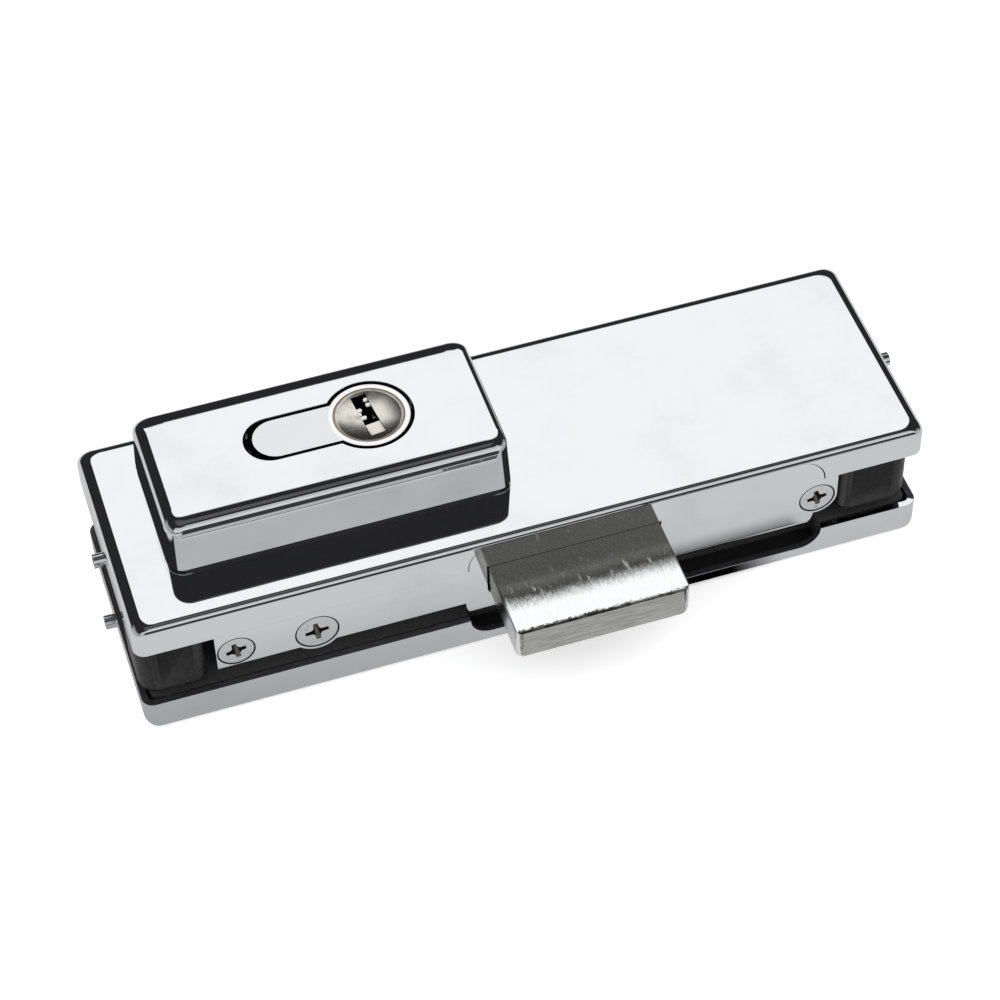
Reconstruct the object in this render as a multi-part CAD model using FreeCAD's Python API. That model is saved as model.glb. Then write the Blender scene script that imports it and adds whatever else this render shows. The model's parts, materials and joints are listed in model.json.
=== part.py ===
import FreeCAD, Part

import math
import os

from FreeCAD import Vector

# A corner patch lock for a frameless glass door.
# The origin is the centre of the back cover's outer face. X runs along the lock, Z points to the
# key side and -Y is the leading edge, where the bolt comes out. Sizes are in millimetres.

# Covers
LENGTH = 170.0
WIDTH = 52.0
COVER_DEPTH = 8.0
COVER_WALL = 1.5
COVER_CORNER = 4.6
COVER_ROUND = 1.3
COVER_INNER_ROUND = 0.5

# Glass channel between the covers
GLASS_SPACE = 12.0
GASKET_THICKNESS = 2.0
GASKET_MARGIN = 0.6
GASKET_CORNER = 4.2

# Notches in the front flanges, set out from the bolt and from the right face screw
NOTCH_LEFT_MARGIN = 4.2
NOTCH_RIGHT_MARGIN = 1.4
FRONT_NOTCH_HEIGHT = 6.5
BACK_NOTCH_HEIGHT = 4.7
NOTCH_LEFT_ROUND = 5.6
NOTCH_RIGHT_ROUND = 6.3
BACK_NOTCH_ROUND = 4.6
SEAM = 0.15

# Lock case, set in from the covers' sides
CASE_LEFT_INSET = 17.0
CASE_RIGHT_INSET = 20.0
CASE_FRONT_INSET = 6.0
CASE_BACK_INSET = 6.4
CASE_BACK_WALL = 1.4
LID_THICKNESS = 1.6

# Face plate
FACE_RECESS = 0.25
FACE_OVERHANG = 0.8
ARM_HEIGHT = 10.0
BLOCK_LEFT_MARGIN = 5.0
BLOCK_RIGHT_MARGIN = 0.6
BLOCK_GAP = 0.5
BLOCK_LEFT_ROUND = 5.0
BLOCK_RIGHT_ROUND = 6.0
BLOCK_FRONT_ROUND = 3.5
EAR_MARGIN = 0.5
LUG_MARGIN = 0.6

# Bolt
BOLT_SIDE_GAP = 0.4
BOLT_WIDTH = 37.2
BOLT_THICKNESS = 8.8
BOLT_TOP_GAP = 0.2
BOLT_THROW = 18.5
BOLT_REAR_GAP = 0.7
BOLT_LOWER_ROUND = 2.0
BOLT_NOSE_ROUND = 1.6
BOLT_CLEARANCE = 0.3
SLIDE_CLEARANCE = 0.05

# Bolt tail and its pins
TAIL_REACH = 5.7
TAIL_ROOT = 9.0
TAIL_THICKNESS = 5.0
TAIL_LIFT = 1.0
TAIL_FINGER = 1.9
TAIL_PIN_RADIUS = 1.0
TAIL_PIN_SPACING = 4.4

# Drag pad and spring
DRAG_RADIUS = 3.0
DRAG_PAD_LENGTH = 3.4
DRAG_SPRING_LENGTH = 7.5
DRAG_INSET = 10.0

# Key cylinder, Euro profile
AXIS_INSET = 41.5
AXIS_BACK_INSET = 15.6
PROFILE_RADIUS = 8.5
PROFILE_HEIGHT = 33.0
TAIL_WIDTH = 10.0
FRONT_LENGTH = 27.0
REAR_LENGTH = 10.0
FIXING_END_MARGIN = 3.35
FIXING_LIFT = 9.6
PROFILE_CLEARANCE = 0.3

# Cam
CAM_THICKNESS = 9.6
CAM_SLOT = 10.0
CAM_FLOOR_GAP = 0.1
CAM_HUB_RADIUS = 7.0
CAM_REACH = 15.1
CAM_SWING = 90.0
CAM_NECK = 3.0
CAM_SWEEP_CLEARANCE = 0.5
NOSE_CLEARANCE = 0.55

# Plug
PLUG_RADIUS = 6.45
PLUG_HEAD_RADIUS = 7.4
PLUG_HEAD_DEPTH = 2.0
PLUG_SHAFT_RADIUS = 4.0
RUNNING_CLEARANCE = 0.05
DISH_RADIUS = 6.9
DISH_DEPTH = 0.65
KEYWAY_WIDTH = 3.2
KEYWAY_FRONT = 2.7
KEYWAY_BACK = 5.9
KEYWAY_DEPTH = 19.7
KEY_MOUTH_FRONT = 5.9
KEY_MOUTH_DEPTH = 0.9
CLIP_RADIUS = 5.6
CLIP_THICKNESS = 0.8
CLIP_GROOVE = 0.5
SHAFT_END = 0.5

# Pins
PIN_COUNT = 5
PIN_PITCH = 3.2
PIN_RADIUS = 1.25
PIN_FIT = 0.1
FIRST_PIN_DEPTH = 3.6
KEY_PIN_SHOW = 0.5
DRIVER_LENGTH = 5.5
CHAMBER_PLUG_LENGTH = 1.5
SIDE_PIN_COUNT = 4
SIDE_PIN_RADIUS = 0.9
SIDE_PIN_OFFSET = 2.2
SPRING_WIRE = 0.35

# Cylinder housing
HOUSING_LEFT_MARGIN = 22.7
HOUSING_RIGHT_MARGIN = 25.2
HOUSING_FRONT_MARGIN = 18.0
HOUSING_BACK_MARGIN = 16.4
CYLINDER_SINK = 0.1
HOUSING_CORNER = 5.0
HOUSING_ROUND = 2.7
HOUSING_SIDE_LEAN = 1.1
HOUSING_END_LEAN = 0.4
HOUSING_FACE = 2.4
HOUSING_CORE = 3.0
HOUSING_HOLE_SIDE = 0.65
HOUSING_HOLE_TAIL = 1.9
SEAL_THICKNESS = 0.6
SEAL_WIDTH = 3.0
SEAL_PROUD = 0.1

# Clamp plates
PLATE_GAP = 0.5
PLATE_SEAT = 0.1
PLATE_CORNER = 2.0
PLATE_ROUND = 1.2
RECESS_CLEARANCE = 0.2
CYLINDER_ROOM = 1.0
CYLINDER_END_ROOM = 2.4

# End blocks
END_BLOCK_LEFT_INSET = 0.2
END_BLOCK_LEFT_GAP = 2.8
END_BLOCK_RIGHT_INSET = 2.4
END_BLOCK_RIGHT_GAP = 1.8
END_BLOCK_FRONT_INSET = 0.5
END_BLOCK_DEPTH = 12.0
END_BLOCK_INNER_CORNER = 2.6
END_BLOCK_OUTER_CORNER = 4.2
END_BLOCK_BEVEL = 2.4
END_PEG_RADIUS = 2.0
END_PEG_LENGTH = 3.0

# Fasteners
SCREW_FIT = 0.05
M3 = 1.5
M4 = 2.0
M5 = 2.5
M3_HEAD = 2.8
M4_HEAD = 4.0
M5_HEAD = 4.65
HEAD_LIP = 0.25
HEAD_SINK = 0.1
CROSS_DEPTH = 1.3
CROSS_WIDTH = 0.85
CROSS_SPAN = 0.58

LEFT_SCREW_INSET = 3.4
RIGHT_SCREW_INSET = 3.7
FACE_SCREW_LIFT = 10.2
FACE_SCREW_LENGTH = 20.0
FIXING_SCREW_REACH = 2.25
LID_SCREW_LENGTH = 7.0
CASE_SCREW_LENGTH = 11.0
CASE_SCREW_HEAD_RADIUS = 3.5
CASE_SCREW_HEAD_HEIGHT = 2.6
CASE_FIXING_SIDE_INSET = 10.0
CASE_FIXING_FRONT_INSET = 12.0
CASE_FIXING_BACK_INSET = 6.6
LID_SCREW_SIDE_INSET = 14.0
LID_SCREW_EDGE_INSET = 4.8
HOUSING_SCREW_INSET = 7.3
HOUSING_SCREW_LENGTH = 9.0
HOUSING_SCREW_HEAD_RADIUS = 3.6
HOUSING_SCREW_HEAD_HEIGHT = 2.2
CLAMP_FRONT_GAP = 9.5
CLAMP_BACK_INSET = 12.0
CLAMP_HEAD_RADIUS = 4.25
CLAMP_HEAD_HEIGHT = 4.8
CLAMP_TIP_GAP = 0.6
SLEEVE_RADIUS = 4.0
SLEEVE_FIT = 0.1
SLEEVE_END_GAP = 0.05
GRUB_PROUD = 2.4
GRUB_BITE = 0.5
GRUB_INSET = 2.0
GRUB_SOCKET = 0.8
GRUB_SOCKET_DEPTH = 1.4

# Worked out from the sizes above
LEFT = -LENGTH / 2
RIGHT = LENGTH / 2
FRONT = -WIDTH / 2
BACK = WIDTH / 2
GAP_LOW = COVER_DEPTH
GAP_HIGH = GAP_LOW + GLASS_SPACE + 2 * GASKET_THICKNESS
TOP = GAP_HIGH + COVER_DEPTH
FACE_FRONT = FRONT + FACE_RECESS
ARM_BOTTOM = GAP_HIGH - ARM_HEIGHT
CASE_LEFT = LEFT + CASE_LEFT_INSET
CASE_RIGHT = RIGHT - CASE_RIGHT_INSET
CASE_FRONT = FRONT + CASE_FRONT_INSET
CASE_BACK = BACK - CASE_BACK_INSET
CASE_INNER_BACK = CASE_BACK - CASE_BACK_WALL
LID_TOP = GAP_HIGH + LID_THICKNESS
FACE_LEFT = CASE_LEFT - FACE_OVERHANG
LEFT_SCREW_X = CASE_LEFT + LEFT_SCREW_INSET
RIGHT_SCREW_X = CASE_RIGHT - RIGHT_SCREW_INSET
FACE_SCREW_HEIGHT = GAP_LOW + FACE_SCREW_LIFT
BLOCK_BOTTOM = GAP_LOW + BLOCK_GAP
BLOCK_RIGHT = RIGHT_SCREW_X - BLOCK_RIGHT_MARGIN
NOTCH_RIGHT = RIGHT_SCREW_X + NOTCH_RIGHT_MARGIN
AXIS_X = CASE_LEFT + AXIS_INSET
AXIS_Y = CASE_BACK - AXIS_BACK_INSET
FIXING_HEIGHT = GAP_LOW + FIXING_LIFT
BOLT_LEFT = AXIS_X + CAM_REACH + BOLT_SIDE_GAP
BLOCK_LEFT = BOLT_LEFT - BLOCK_LEFT_MARGIN
NOTCH_LEFT = BOLT_LEFT - NOTCH_LEFT_MARGIN
BOLT_RIGHT = BOLT_LEFT + BOLT_WIDTH
BOLT_TOP = GAP_HIGH - BOLT_TOP_GAP
BOLT_BOTTOM = BOLT_TOP - BOLT_THICKNESS
BOLT_TIP = FACE_FRONT - BOLT_THROW
BOLT_REAR = CASE_INNER_BACK - BOLT_THROW - BOLT_REAR_GAP
DRAG_Y = CASE_FRONT + DRAG_INSET
PROFILE_TAIL = AXIS_X + PROFILE_RADIUS - PROFILE_HEIGHT
FIXING_X = PROFILE_TAIL + FIXING_END_MARGIN
FIXING_SCREW_LENGTH = AXIS_Y + FIXING_SCREW_REACH - FACE_FRONT
BODY_TOP = FIXING_HEIGHT + FRONT_LENGTH
BODY_BOTTOM = FIXING_HEIGHT - REAR_LENGTH
CAM_SLOT_TOP = FIXING_HEIGHT + CAM_SLOT / 2
CAM_SLOT_BOTTOM = FIXING_HEIGHT - CAM_SLOT / 2
FLOOR_TOP = CAM_SLOT_BOTTOM - CAM_FLOOR_GAP
CAM_ARM = BOLT_THROW / (2 * math.sin(math.radians(CAM_SWING / 2)))
NOSE_RADIUS = CAM_REACH - CAM_ARM
NOTCH_HALF = NOSE_RADIUS + NOSE_CLEARANCE
NOTCH_CENTRE = AXIS_Y - BOLT_THROW / 2
TAIL_BACK = NOTCH_CENTRE + NOTCH_HALF + TAIL_FINGER
TAIL_FRONT = NOTCH_CENTRE - NOTCH_HALF - TAIL_FINGER
TAIL_BOTTOM = BOLT_BOTTOM + TAIL_LIFT
TAIL_TOP = TAIL_BOTTOM + TAIL_THICKNESS
HOUSING_LEFT = PROFILE_TAIL - HOUSING_LEFT_MARGIN
HOUSING_RIGHT = AXIS_X + HOUSING_RIGHT_MARGIN
HOUSING_FRONT = AXIS_Y - HOUSING_FRONT_MARGIN
HOUSING_BACK = AXIS_Y + HOUSING_BACK_MARGIN
HOUSING_BOTTOM = TOP + SEAL_THICKNESS
HOUSING_TOP = BODY_TOP + CYLINDER_SINK
HOUSING_SCREW_Y = (HOUSING_FRONT + HOUSING_BACK) / 2
HOUSING_SCREWS_X = (HOUSING_LEFT + HOUSING_SCREW_INSET, HOUSING_RIGHT - HOUSING_SCREW_INSET)
END_BLOCK_LEFT = LEFT + END_BLOCK_LEFT_INSET
END_BLOCK_LEFT_INNER = CASE_LEFT - END_BLOCK_LEFT_GAP
END_BLOCK_RIGHT = RIGHT - END_BLOCK_RIGHT_INSET
END_BLOCK_RIGHT_INNER = CASE_RIGHT + END_BLOCK_RIGHT_GAP
END_BLOCK_FRONT = FRONT + END_BLOCK_FRONT_INSET
END_BLOCK_BACK = END_BLOCK_FRONT + END_BLOCK_DEPTH
CASE_FIXINGS_X = (CASE_LEFT + CASE_FIXING_SIDE_INSET, CASE_RIGHT - CASE_FIXING_SIDE_INSET)
CASE_FIXINGS_Y = (CASE_FRONT + CASE_FIXING_FRONT_INSET, CASE_BACK - CASE_FIXING_BACK_INSET)
LID_SCREWS_X = (CASE_LEFT + LID_SCREW_SIDE_INSET, CASE_RIGHT - LID_SCREW_SIDE_INSET)
LID_SCREWS_Y = (CASE_FRONT + LID_SCREW_EDGE_INSET, CASE_BACK - LID_SCREW_EDGE_INSET)
CLAMP_SCREWS_X = ((LEFT + CASE_LEFT) / 2, (CASE_RIGHT + RIGHT) / 2)
CLAMP_SCREWS_Y = (END_BLOCK_BACK + CLAMP_FRONT_GAP, BACK - CLAMP_BACK_INSET)
PLATE_LEFT = LEFT + COVER_WALL + PLATE_GAP
PLATE_RIGHT = RIGHT - COVER_WALL - PLATE_GAP
PLATE_FRONT = FRONT + COVER_WALL + PLATE_GAP
PLATE_BACK = BACK - COVER_WALL - PLATE_GAP

UP = Vector(0, 0, 1)
DOWN = Vector(0, 0, -1)
TO_BACK = Vector(0, 1, 0)
TO_RIGHT = Vector(1, 0, 0)
TO_LEFT = Vector(-1, 0, 0)
NEAR = 1e-6


def box(x_limits, y_limits, z_limits):
    """Return a box between three pairs of limits."""
    size = [high - low for low, high in (x_limits, y_limits, z_limits)]
    return Part.makeBox(*size, Vector(x_limits[0], y_limits[0], z_limits[0]))


def rod(radius, start, direction, length):
    """Return a cylinder that runs from a point along a direction."""
    return Part.makeCylinder(radius, length, start, direction)


def upright(radius, x, y, z_limits):
    """Return a cylinder that stands along Z between two heights."""
    return rod(radius, Vector(x, y, z_limits[0]), UP, z_limits[1] - z_limits[0])


def joined(first, *others):
    """Return the solids fused into one, without seams left on shared faces."""
    return first.fuse(list(others)).removeSplitter()


def edges_at(shape, **place):
    """Return the edges whose two ends both lie at the coordinates given."""
    found = []
    for edge in shape.Edges:
        points = [vertex.Point for vertex in edge.Vertexes]
        offsets = [getattr(point, axis) - value for point in points for axis, value in place.items()]
        if all(abs(offset) < NEAR for offset in offsets):
            found.append(edge)
    return found


def rounded_box(x_limits, y_limits, z_limits, corner, rim, rim_height):
    """Return a box with rounded uprights and one rounded rim, at its top or its bottom."""
    body = box(x_limits, y_limits, z_limits)
    uprights = [edges_at(body, x=x, y=y)[0] for x in x_limits for y in y_limits]
    body = body.makeFillet(corner, uprights)
    return body.makeFillet(rim, edges_at(body, z=rim_height))


def block_with_rounds(x_limits, y_limits, z_limits, rounds):
    """Return a box whose edges along Y are rounded: rounds holds (x, z, radius) of each."""
    body = box(x_limits, y_limits, z_limits)
    for x, z, radius in rounds:
        body = body.makeFillet(radius, edges_at(body, x=x, z=z))
    return body


def placed(shape, point, direction):
    """Return a shape that was drawn at the origin along +Z, moved to a point and turned."""
    turned = shape.copy()
    turned.Placement = FreeCAD.Placement(point, FreeCAD.Rotation(UP, direction))
    return turned


def euro_profile(z_limits, offset=0.0, tail_extra=0.0):
    """Return the key cylinder's outline between two heights, grown by an offset."""
    half_tail = TAIL_WIDTH / 2 + offset
    end_x = PROFILE_TAIL + TAIL_WIDTH / 2 - tail_extra
    head = upright(PROFILE_RADIUS + offset, AXIS_X, AXIS_Y, z_limits)
    tail = box((end_x, AXIS_X), (AXIS_Y - half_tail, AXIS_Y + half_tail), z_limits)
    end = upright(half_tail, end_x, AXIS_Y, z_limits)
    return joined(head, tail, end)


def cross_recess(head_radius):
    """Return the cross-shaped driver recess of a screw head that faces -Z at the origin."""
    half = head_radius * CROSS_SPAN
    width = CROSS_WIDTH / 2
    depth = (0, CROSS_DEPTH)
    return box((-half, half), (-width, width), depth).fuse(box((-width, width), (-half, half), depth))


def countersunk_screw(shaft_radius, head_radius, length):
    """Return a countersunk screw whose head face is at the origin and whose tip points to +Z."""
    lip = Part.makeCylinder(head_radius, HEAD_LIP)
    cone_height = head_radius - shaft_radius
    cone = Part.makeCone(head_radius, shaft_radius, cone_height, Vector(0, 0, HEAD_LIP))
    shaft = Part.makeCylinder(shaft_radius, length)
    return joined(lip, cone, shaft).cut(cross_recess(head_radius))


def countersink(shaft_radius, head_radius, length):
    """Return the hole for a countersunk screw, with the fit all round, opening at the origin."""
    wide = head_radius + SCREW_FIT
    mouth = Part.makeCylinder(wide, HEAD_LIP + SCREW_FIT + HEAD_SINK, Vector(0, 0, -HEAD_SINK))
    cone = Part.makeCone(wide, shaft_radius, wide - shaft_radius, Vector(0, 0, HEAD_LIP + SCREW_FIT))
    return joined(mouth, cone, Part.makeCylinder(shaft_radius + SCREW_FIT, length))


def socket_screw(shaft_radius, head_radius, head_height, length):
    """Return a socket cap screw with its seat at the origin and its tip along +Z."""
    head = Part.makeCylinder(head_radius, head_height, Vector(0, 0, -head_height))
    shaft = Part.makeCylinder(shaft_radius, length)
    socket = hexagon(head_radius / 2, head_height / 2)
    socket.translate(Vector(0, 0, -head_height))
    return joined(head, shaft).cut(socket)


def hexagon(radius, height):
    """Return a six-sided prism that stands on the origin."""
    turns = [math.radians(60 * step) for step in range(7)]
    points = [Vector(radius * math.cos(turn), radius * math.sin(turn), 0) for turn in turns]
    return Part.Face(Part.makePolygon(points)).extrude(Vector(0, 0, height))


def cover_shell(z_face, z_open):
    """Return one polished cover: a shallow tray with its face at z_face and open at z_open."""
    inward = 1 if z_open > z_face else -1
    outer = rounded_box((LEFT, RIGHT), (FRONT, BACK), sorted((z_face, z_open)),
                        COVER_CORNER, COVER_ROUND, z_face)
    floor = z_face + inward * COVER_WALL
    past = z_open + inward * COVER_WALL
    inner = rounded_box((LEFT + COVER_WALL, RIGHT - COVER_WALL), (FRONT + COVER_WALL, BACK - COVER_WALL),
                        sorted((floor, past)), COVER_CORNER - COVER_WALL, COVER_INNER_ROUND, floor)
    shell = outer.cut(inner)
    grub_height = z_open - inward * GRUB_INSET
    for side, direction in ((LEFT, TO_RIGHT), (RIGHT, TO_LEFT)):
        start = Vector(side, 0, grub_height) - direction
        shell = shell.cut(rod(M3 + SCREW_FIT, start, direction, COVER_WALL + 2))
    return shell


def front_cover():
    """Return the cover on the key side, with the notch for the face plate and its holes."""
    shell = cover_shell(TOP, GAP_HIGH)
    notch_top = GAP_HIGH + FRONT_NOTCH_HEIGHT
    notch = block_with_rounds(
        (NOTCH_LEFT, NOTCH_RIGHT), (FRONT - 1, FRONT + COVER_WALL + COVER_ROUND), (GAP_HIGH - 1, notch_top),
        ((NOTCH_LEFT, notch_top, min(NOTCH_LEFT_ROUND, FRONT_NOTCH_HEIGHT)),
         (NOTCH_RIGHT, notch_top, min(NOTCH_RIGHT_ROUND, FRONT_NOTCH_HEIGHT))))
    shell = shell.cut(notch)
    shell = shell.cut(euro_profile((GAP_HIGH, TOP + 1), CYLINDER_ROOM))
    for x in HOUSING_SCREWS_X:
        shell = shell.cut(upright(M4 + SCREW_FIT, x, HOUSING_SCREW_Y, (GAP_HIGH, TOP + 1)))
    return shell


def back_cover():
    """Return the cover on the back, with the notch under the face plate's block."""
    shell = cover_shell(0.0, GAP_LOW)
    notch_floor = GAP_LOW - BACK_NOTCH_HEIGHT
    notch_round = min(BACK_NOTCH_ROUND, BACK_NOTCH_HEIGHT)
    notch = block_with_rounds(
        (NOTCH_LEFT, NOTCH_RIGHT), (FRONT - 1, FRONT + COVER_WALL + COVER_ROUND), (notch_floor, GAP_LOW + 1),
        ((NOTCH_LEFT, notch_floor, notch_round), (NOTCH_RIGHT, notch_floor, notch_round)))
    return shell.cut(notch)


def cover_grub_screws():
    """Return the four grub screws that pull the covers onto the clamp plates."""
    screws = []
    length = GRUB_PROUD + COVER_WALL + PLATE_GAP + GRUB_BITE
    grub = Part.makeCylinder(M3, length).cut(hexagon(GRUB_SOCKET, GRUB_SOCKET_DEPTH))
    for height in (GAP_LOW - GRUB_INSET, GAP_HIGH + GRUB_INSET):
        screws.append(placed(grub, Vector(LEFT - GRUB_PROUD, 0, height), TO_RIGHT))
        screws.append(placed(grub, Vector(RIGHT + GRUB_PROUD, 0, height), TO_LEFT))
    return Part.makeCompound(screws)


def grub_seats(height):
    """Return the blind holes in a clamp plate's two ends that the grub screws bite into."""
    depth = GRUB_BITE + RECESS_CLEARANCE
    left = rod(M3 + RECESS_CLEARANCE, Vector(PLATE_LEFT - 1, 0, height), TO_RIGHT, depth + 1)
    right = rod(M3 + RECESS_CLEARANCE, Vector(PLATE_RIGHT + 1, 0, height), TO_LEFT, depth + 1)
    return left.fuse(right)


def flange_room():
    """Return the space behind the notched flanges, which both clamp plates leave free."""
    return box((NOTCH_LEFT - SEAM, NOTCH_RIGHT + SEAM),
               (FRONT, CASE_FRONT + RECESS_CLEARANCE), (0, TOP))


def clamp_places():
    """Return the x and y of each clamp screw."""
    return [(x, y) for x in CLAMP_SCREWS_X for y in CLAMP_SCREWS_Y]


def fixing_places():
    """Return the x and y of each screw that holds the case on the back clamp plate."""
    return [(x, y) for x in CASE_FIXINGS_X for y in CASE_FIXINGS_Y]


def lid_places():
    """Return the x and y of each lid screw."""
    return [(x, y) for x in LID_SCREWS_X for y in LID_SCREWS_Y]


def end_peg_places():
    """Return the x and y of the peg on each end block."""
    y = (END_BLOCK_FRONT + END_BLOCK_BACK) / 2
    return [((END_BLOCK_LEFT + END_BLOCK_LEFT_INNER) / 2, y),
            ((END_BLOCK_RIGHT_INNER + END_BLOCK_RIGHT) / 2, y)]


def front_clamp_plate():
    """Return the clamp plate on the key side, over the glass and the case lid."""
    plate_top = TOP - COVER_WALL - PLATE_SEAT
    plate = rounded_box((PLATE_LEFT, PLATE_RIGHT), (PLATE_FRONT, PLATE_BACK), (GAP_HIGH, plate_top),
                        PLATE_CORNER, PLATE_ROUND, plate_top)
    lid_room = box((CASE_LEFT - RECESS_CLEARANCE, CASE_RIGHT + RECESS_CLEARANCE),
                   (CASE_FRONT - RECESS_CLEARANCE, CASE_BACK + RECESS_CLEARANCE),
                   (GAP_HIGH - 1, LID_TOP + RECESS_CLEARANCE))
    plate = plate.cut([lid_room, flange_room(), euro_profile((GAP_HIGH, TOP), CYLINDER_ROOM),
                       grub_seats(GAP_HIGH + GRUB_INSET)])
    head_seat = plate_top - CLAMP_HEAD_HEIGHT - RECESS_CLEARANCE
    for x, y in clamp_places():
        plate = plate.cut(upright(M5 + SCREW_FIT, x, y, (GAP_HIGH - 1, TOP)))
        plate = plate.cut(upright(CLAMP_HEAD_RADIUS + RECESS_CLEARANCE, x, y, (head_seat, TOP)))
    for x in HOUSING_SCREWS_X:
        plate = plate.cut(upright(HOUSING_SCREW_HEAD_RADIUS + RECESS_CLEARANCE, x, HOUSING_SCREW_Y,
                                  (LID_TOP, TOP)))
    for x, y in end_peg_places():
        plate = plate.cut(upright(END_PEG_RADIUS + SCREW_FIT, x, y,
                                  (GAP_HIGH - 1, GAP_HIGH + END_PEG_LENGTH + RECESS_CLEARANCE)))
    return plate


def back_clamp_plate():
    """Return the clamp plate on the back, which the case stands on and the clamp screws pull on."""
    plate_bottom = COVER_WALL + PLATE_SEAT
    plate = rounded_box((PLATE_LEFT, PLATE_RIGHT), (PLATE_FRONT, PLATE_BACK), (plate_bottom, GAP_LOW),
                        PLATE_CORNER, PLATE_ROUND, plate_bottom)
    cylinder_end = euro_profile((BODY_BOTTOM - CYLINDER_END_ROOM, GAP_LOW + 1), CYLINDER_ROOM)
    plate = plate.cut([flange_room(), cylinder_end, grub_seats(GAP_LOW - GRUB_INSET)])
    for x, y in clamp_places():
        plate = plate.cut(upright(M5 + SCREW_FIT, x, y, (0, GAP_LOW + 1)))
    head_seat = plate_bottom + CASE_SCREW_HEAD_HEIGHT + RECESS_CLEARANCE
    for x, y in fixing_places():
        plate = plate.cut(upright(M4 + SCREW_FIT, x, y, (0, GAP_LOW + 1)))
        plate = plate.cut(upright(CASE_SCREW_HEAD_RADIUS + RECESS_CLEARANCE, x, y, (0, head_seat)))
    return plate


def gasket(z_low):
    """Return the gasket sheet between one clamp plate and the glass, round the case."""
    heights = (z_low, z_low + GASKET_THICKNESS)
    sheet = box((LEFT + GASKET_MARGIN, RIGHT - GASKET_MARGIN),
                (END_BLOCK_BACK + RECESS_CLEARANCE, BACK - GASKET_MARGIN), heights)
    corners = [edges_at(sheet, x=x, y=BACK - GASKET_MARGIN)[0]
               for x in (LEFT + GASKET_MARGIN, RIGHT - GASKET_MARGIN)]
    sheet = sheet.makeFillet(GASKET_CORNER, corners)
    case_room = box((CASE_LEFT - CYLINDER_ROOM, CASE_RIGHT + CYLINDER_ROOM),
                    (FRONT, CASE_BACK + RECESS_CLEARANCE), heights)
    sheet = sheet.cut(case_room)
    for x, y in clamp_places():
        sheet = sheet.cut(upright(SLEEVE_RADIUS + SLEEVE_FIT, x, y, heights))
    return sheet


def clamp_screws():
    """Return the four socket screws that pull the clamp plates together through the glass."""
    seat = TOP - COVER_WALL - PLATE_SEAT - CLAMP_HEAD_HEIGHT - RECESS_CLEARANCE
    length = seat - COVER_WALL - PLATE_SEAT - CLAMP_TIP_GAP
    screw = socket_screw(M5, CLAMP_HEAD_RADIUS, CLAMP_HEAD_HEIGHT, length)
    return Part.makeCompound([placed(screw, Vector(x, y, seat), DOWN) for x, y in clamp_places()])


def clamp_sleeves():
    """Return the bushes that keep the clamp screws off the glass."""
    heights = (GAP_LOW + SLEEVE_END_GAP, GAP_HIGH - SLEEVE_END_GAP)
    sleeves = []
    for x, y in clamp_places():
        bush = upright(SLEEVE_RADIUS, x, y, heights)
        sleeves.append(bush.cut(upright(M5 + SLEEVE_FIT, x, y, heights)))
    return Part.makeCompound(sleeves)


def end_block(x_limits, peg_place):
    """Return one rubber end block: its front and lower edges are rounded, and a peg holds it."""
    heights = (GAP_LOW + GASKET_THICKNESS, GAP_HIGH)
    body = box(x_limits, (END_BLOCK_FRONT, END_BLOCK_BACK), heights)
    inner_x, outer_x = sorted(x_limits, key=abs)
    body = body.makeFillet(END_BLOCK_INNER_CORNER, edges_at(body, x=inner_x, y=END_BLOCK_FRONT))
    body = body.makeFillet(END_BLOCK_OUTER_CORNER, edges_at(body, x=outer_x, y=END_BLOCK_FRONT))
    lower = [edge for edge in edges_at(body, z=heights[0]) if edge.CenterOfMass.y < END_BLOCK_BACK - NEAR]
    body = body.makeFillet(END_BLOCK_BEVEL, lower)
    x, y = peg_place
    return joined(body, upright(END_PEG_RADIUS, x, y, (GAP_HIGH - 1, GAP_HIGH + END_PEG_LENGTH)))


def housing_outline(height, lean):
    """Return the housing's outline at a height: lean is the share of its lean reached there."""
    x_in = lean * HOUSING_END_LEAN
    y_in = lean * HOUSING_SIDE_LEAN
    xs = (HOUSING_LEFT + x_in, HOUSING_RIGHT - x_in)
    ys = (HOUSING_FRONT + y_in, HOUSING_BACK - y_in)
    block = box(xs, ys, (height, height + 1))
    uprights = [edges_at(block, x=x, y=y)[0] for x in xs for y in ys]
    block = block.makeFillet(HOUSING_CORNER, uprights)
    foot = [face for face in block.Faces if abs(face.CenterOfMass.z - height) < NEAR]
    return foot[0].OuterWire


def cylinder_housing():
    """Return the raised housing round the key cylinder."""
    body = Part.makeLoft([housing_outline(HOUSING_BOTTOM, 0.0), housing_outline(HOUSING_TOP, 1.0)],
                         True, True)
    body = body.makeFillet(HOUSING_ROUND, edges_at(body, z=HOUSING_TOP))
    core = euro_profile((HOUSING_BOTTOM - 1, HOUSING_TOP - HOUSING_FACE), HOUSING_CORE)
    hole = euro_profile((HOUSING_BOTTOM, HOUSING_TOP + 1), HOUSING_HOLE_SIDE,
                        HOUSING_HOLE_TAIL - HOUSING_HOLE_SIDE)
    body = body.cut([core, hole])
    tip = TOP - COVER_WALL + HOUSING_SCREW_LENGTH
    for x in HOUSING_SCREWS_X:
        body = body.cut(upright(M4 + SCREW_FIT, x, HOUSING_SCREW_Y, (TOP, tip + SCREW_FIT)))
    return body


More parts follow.
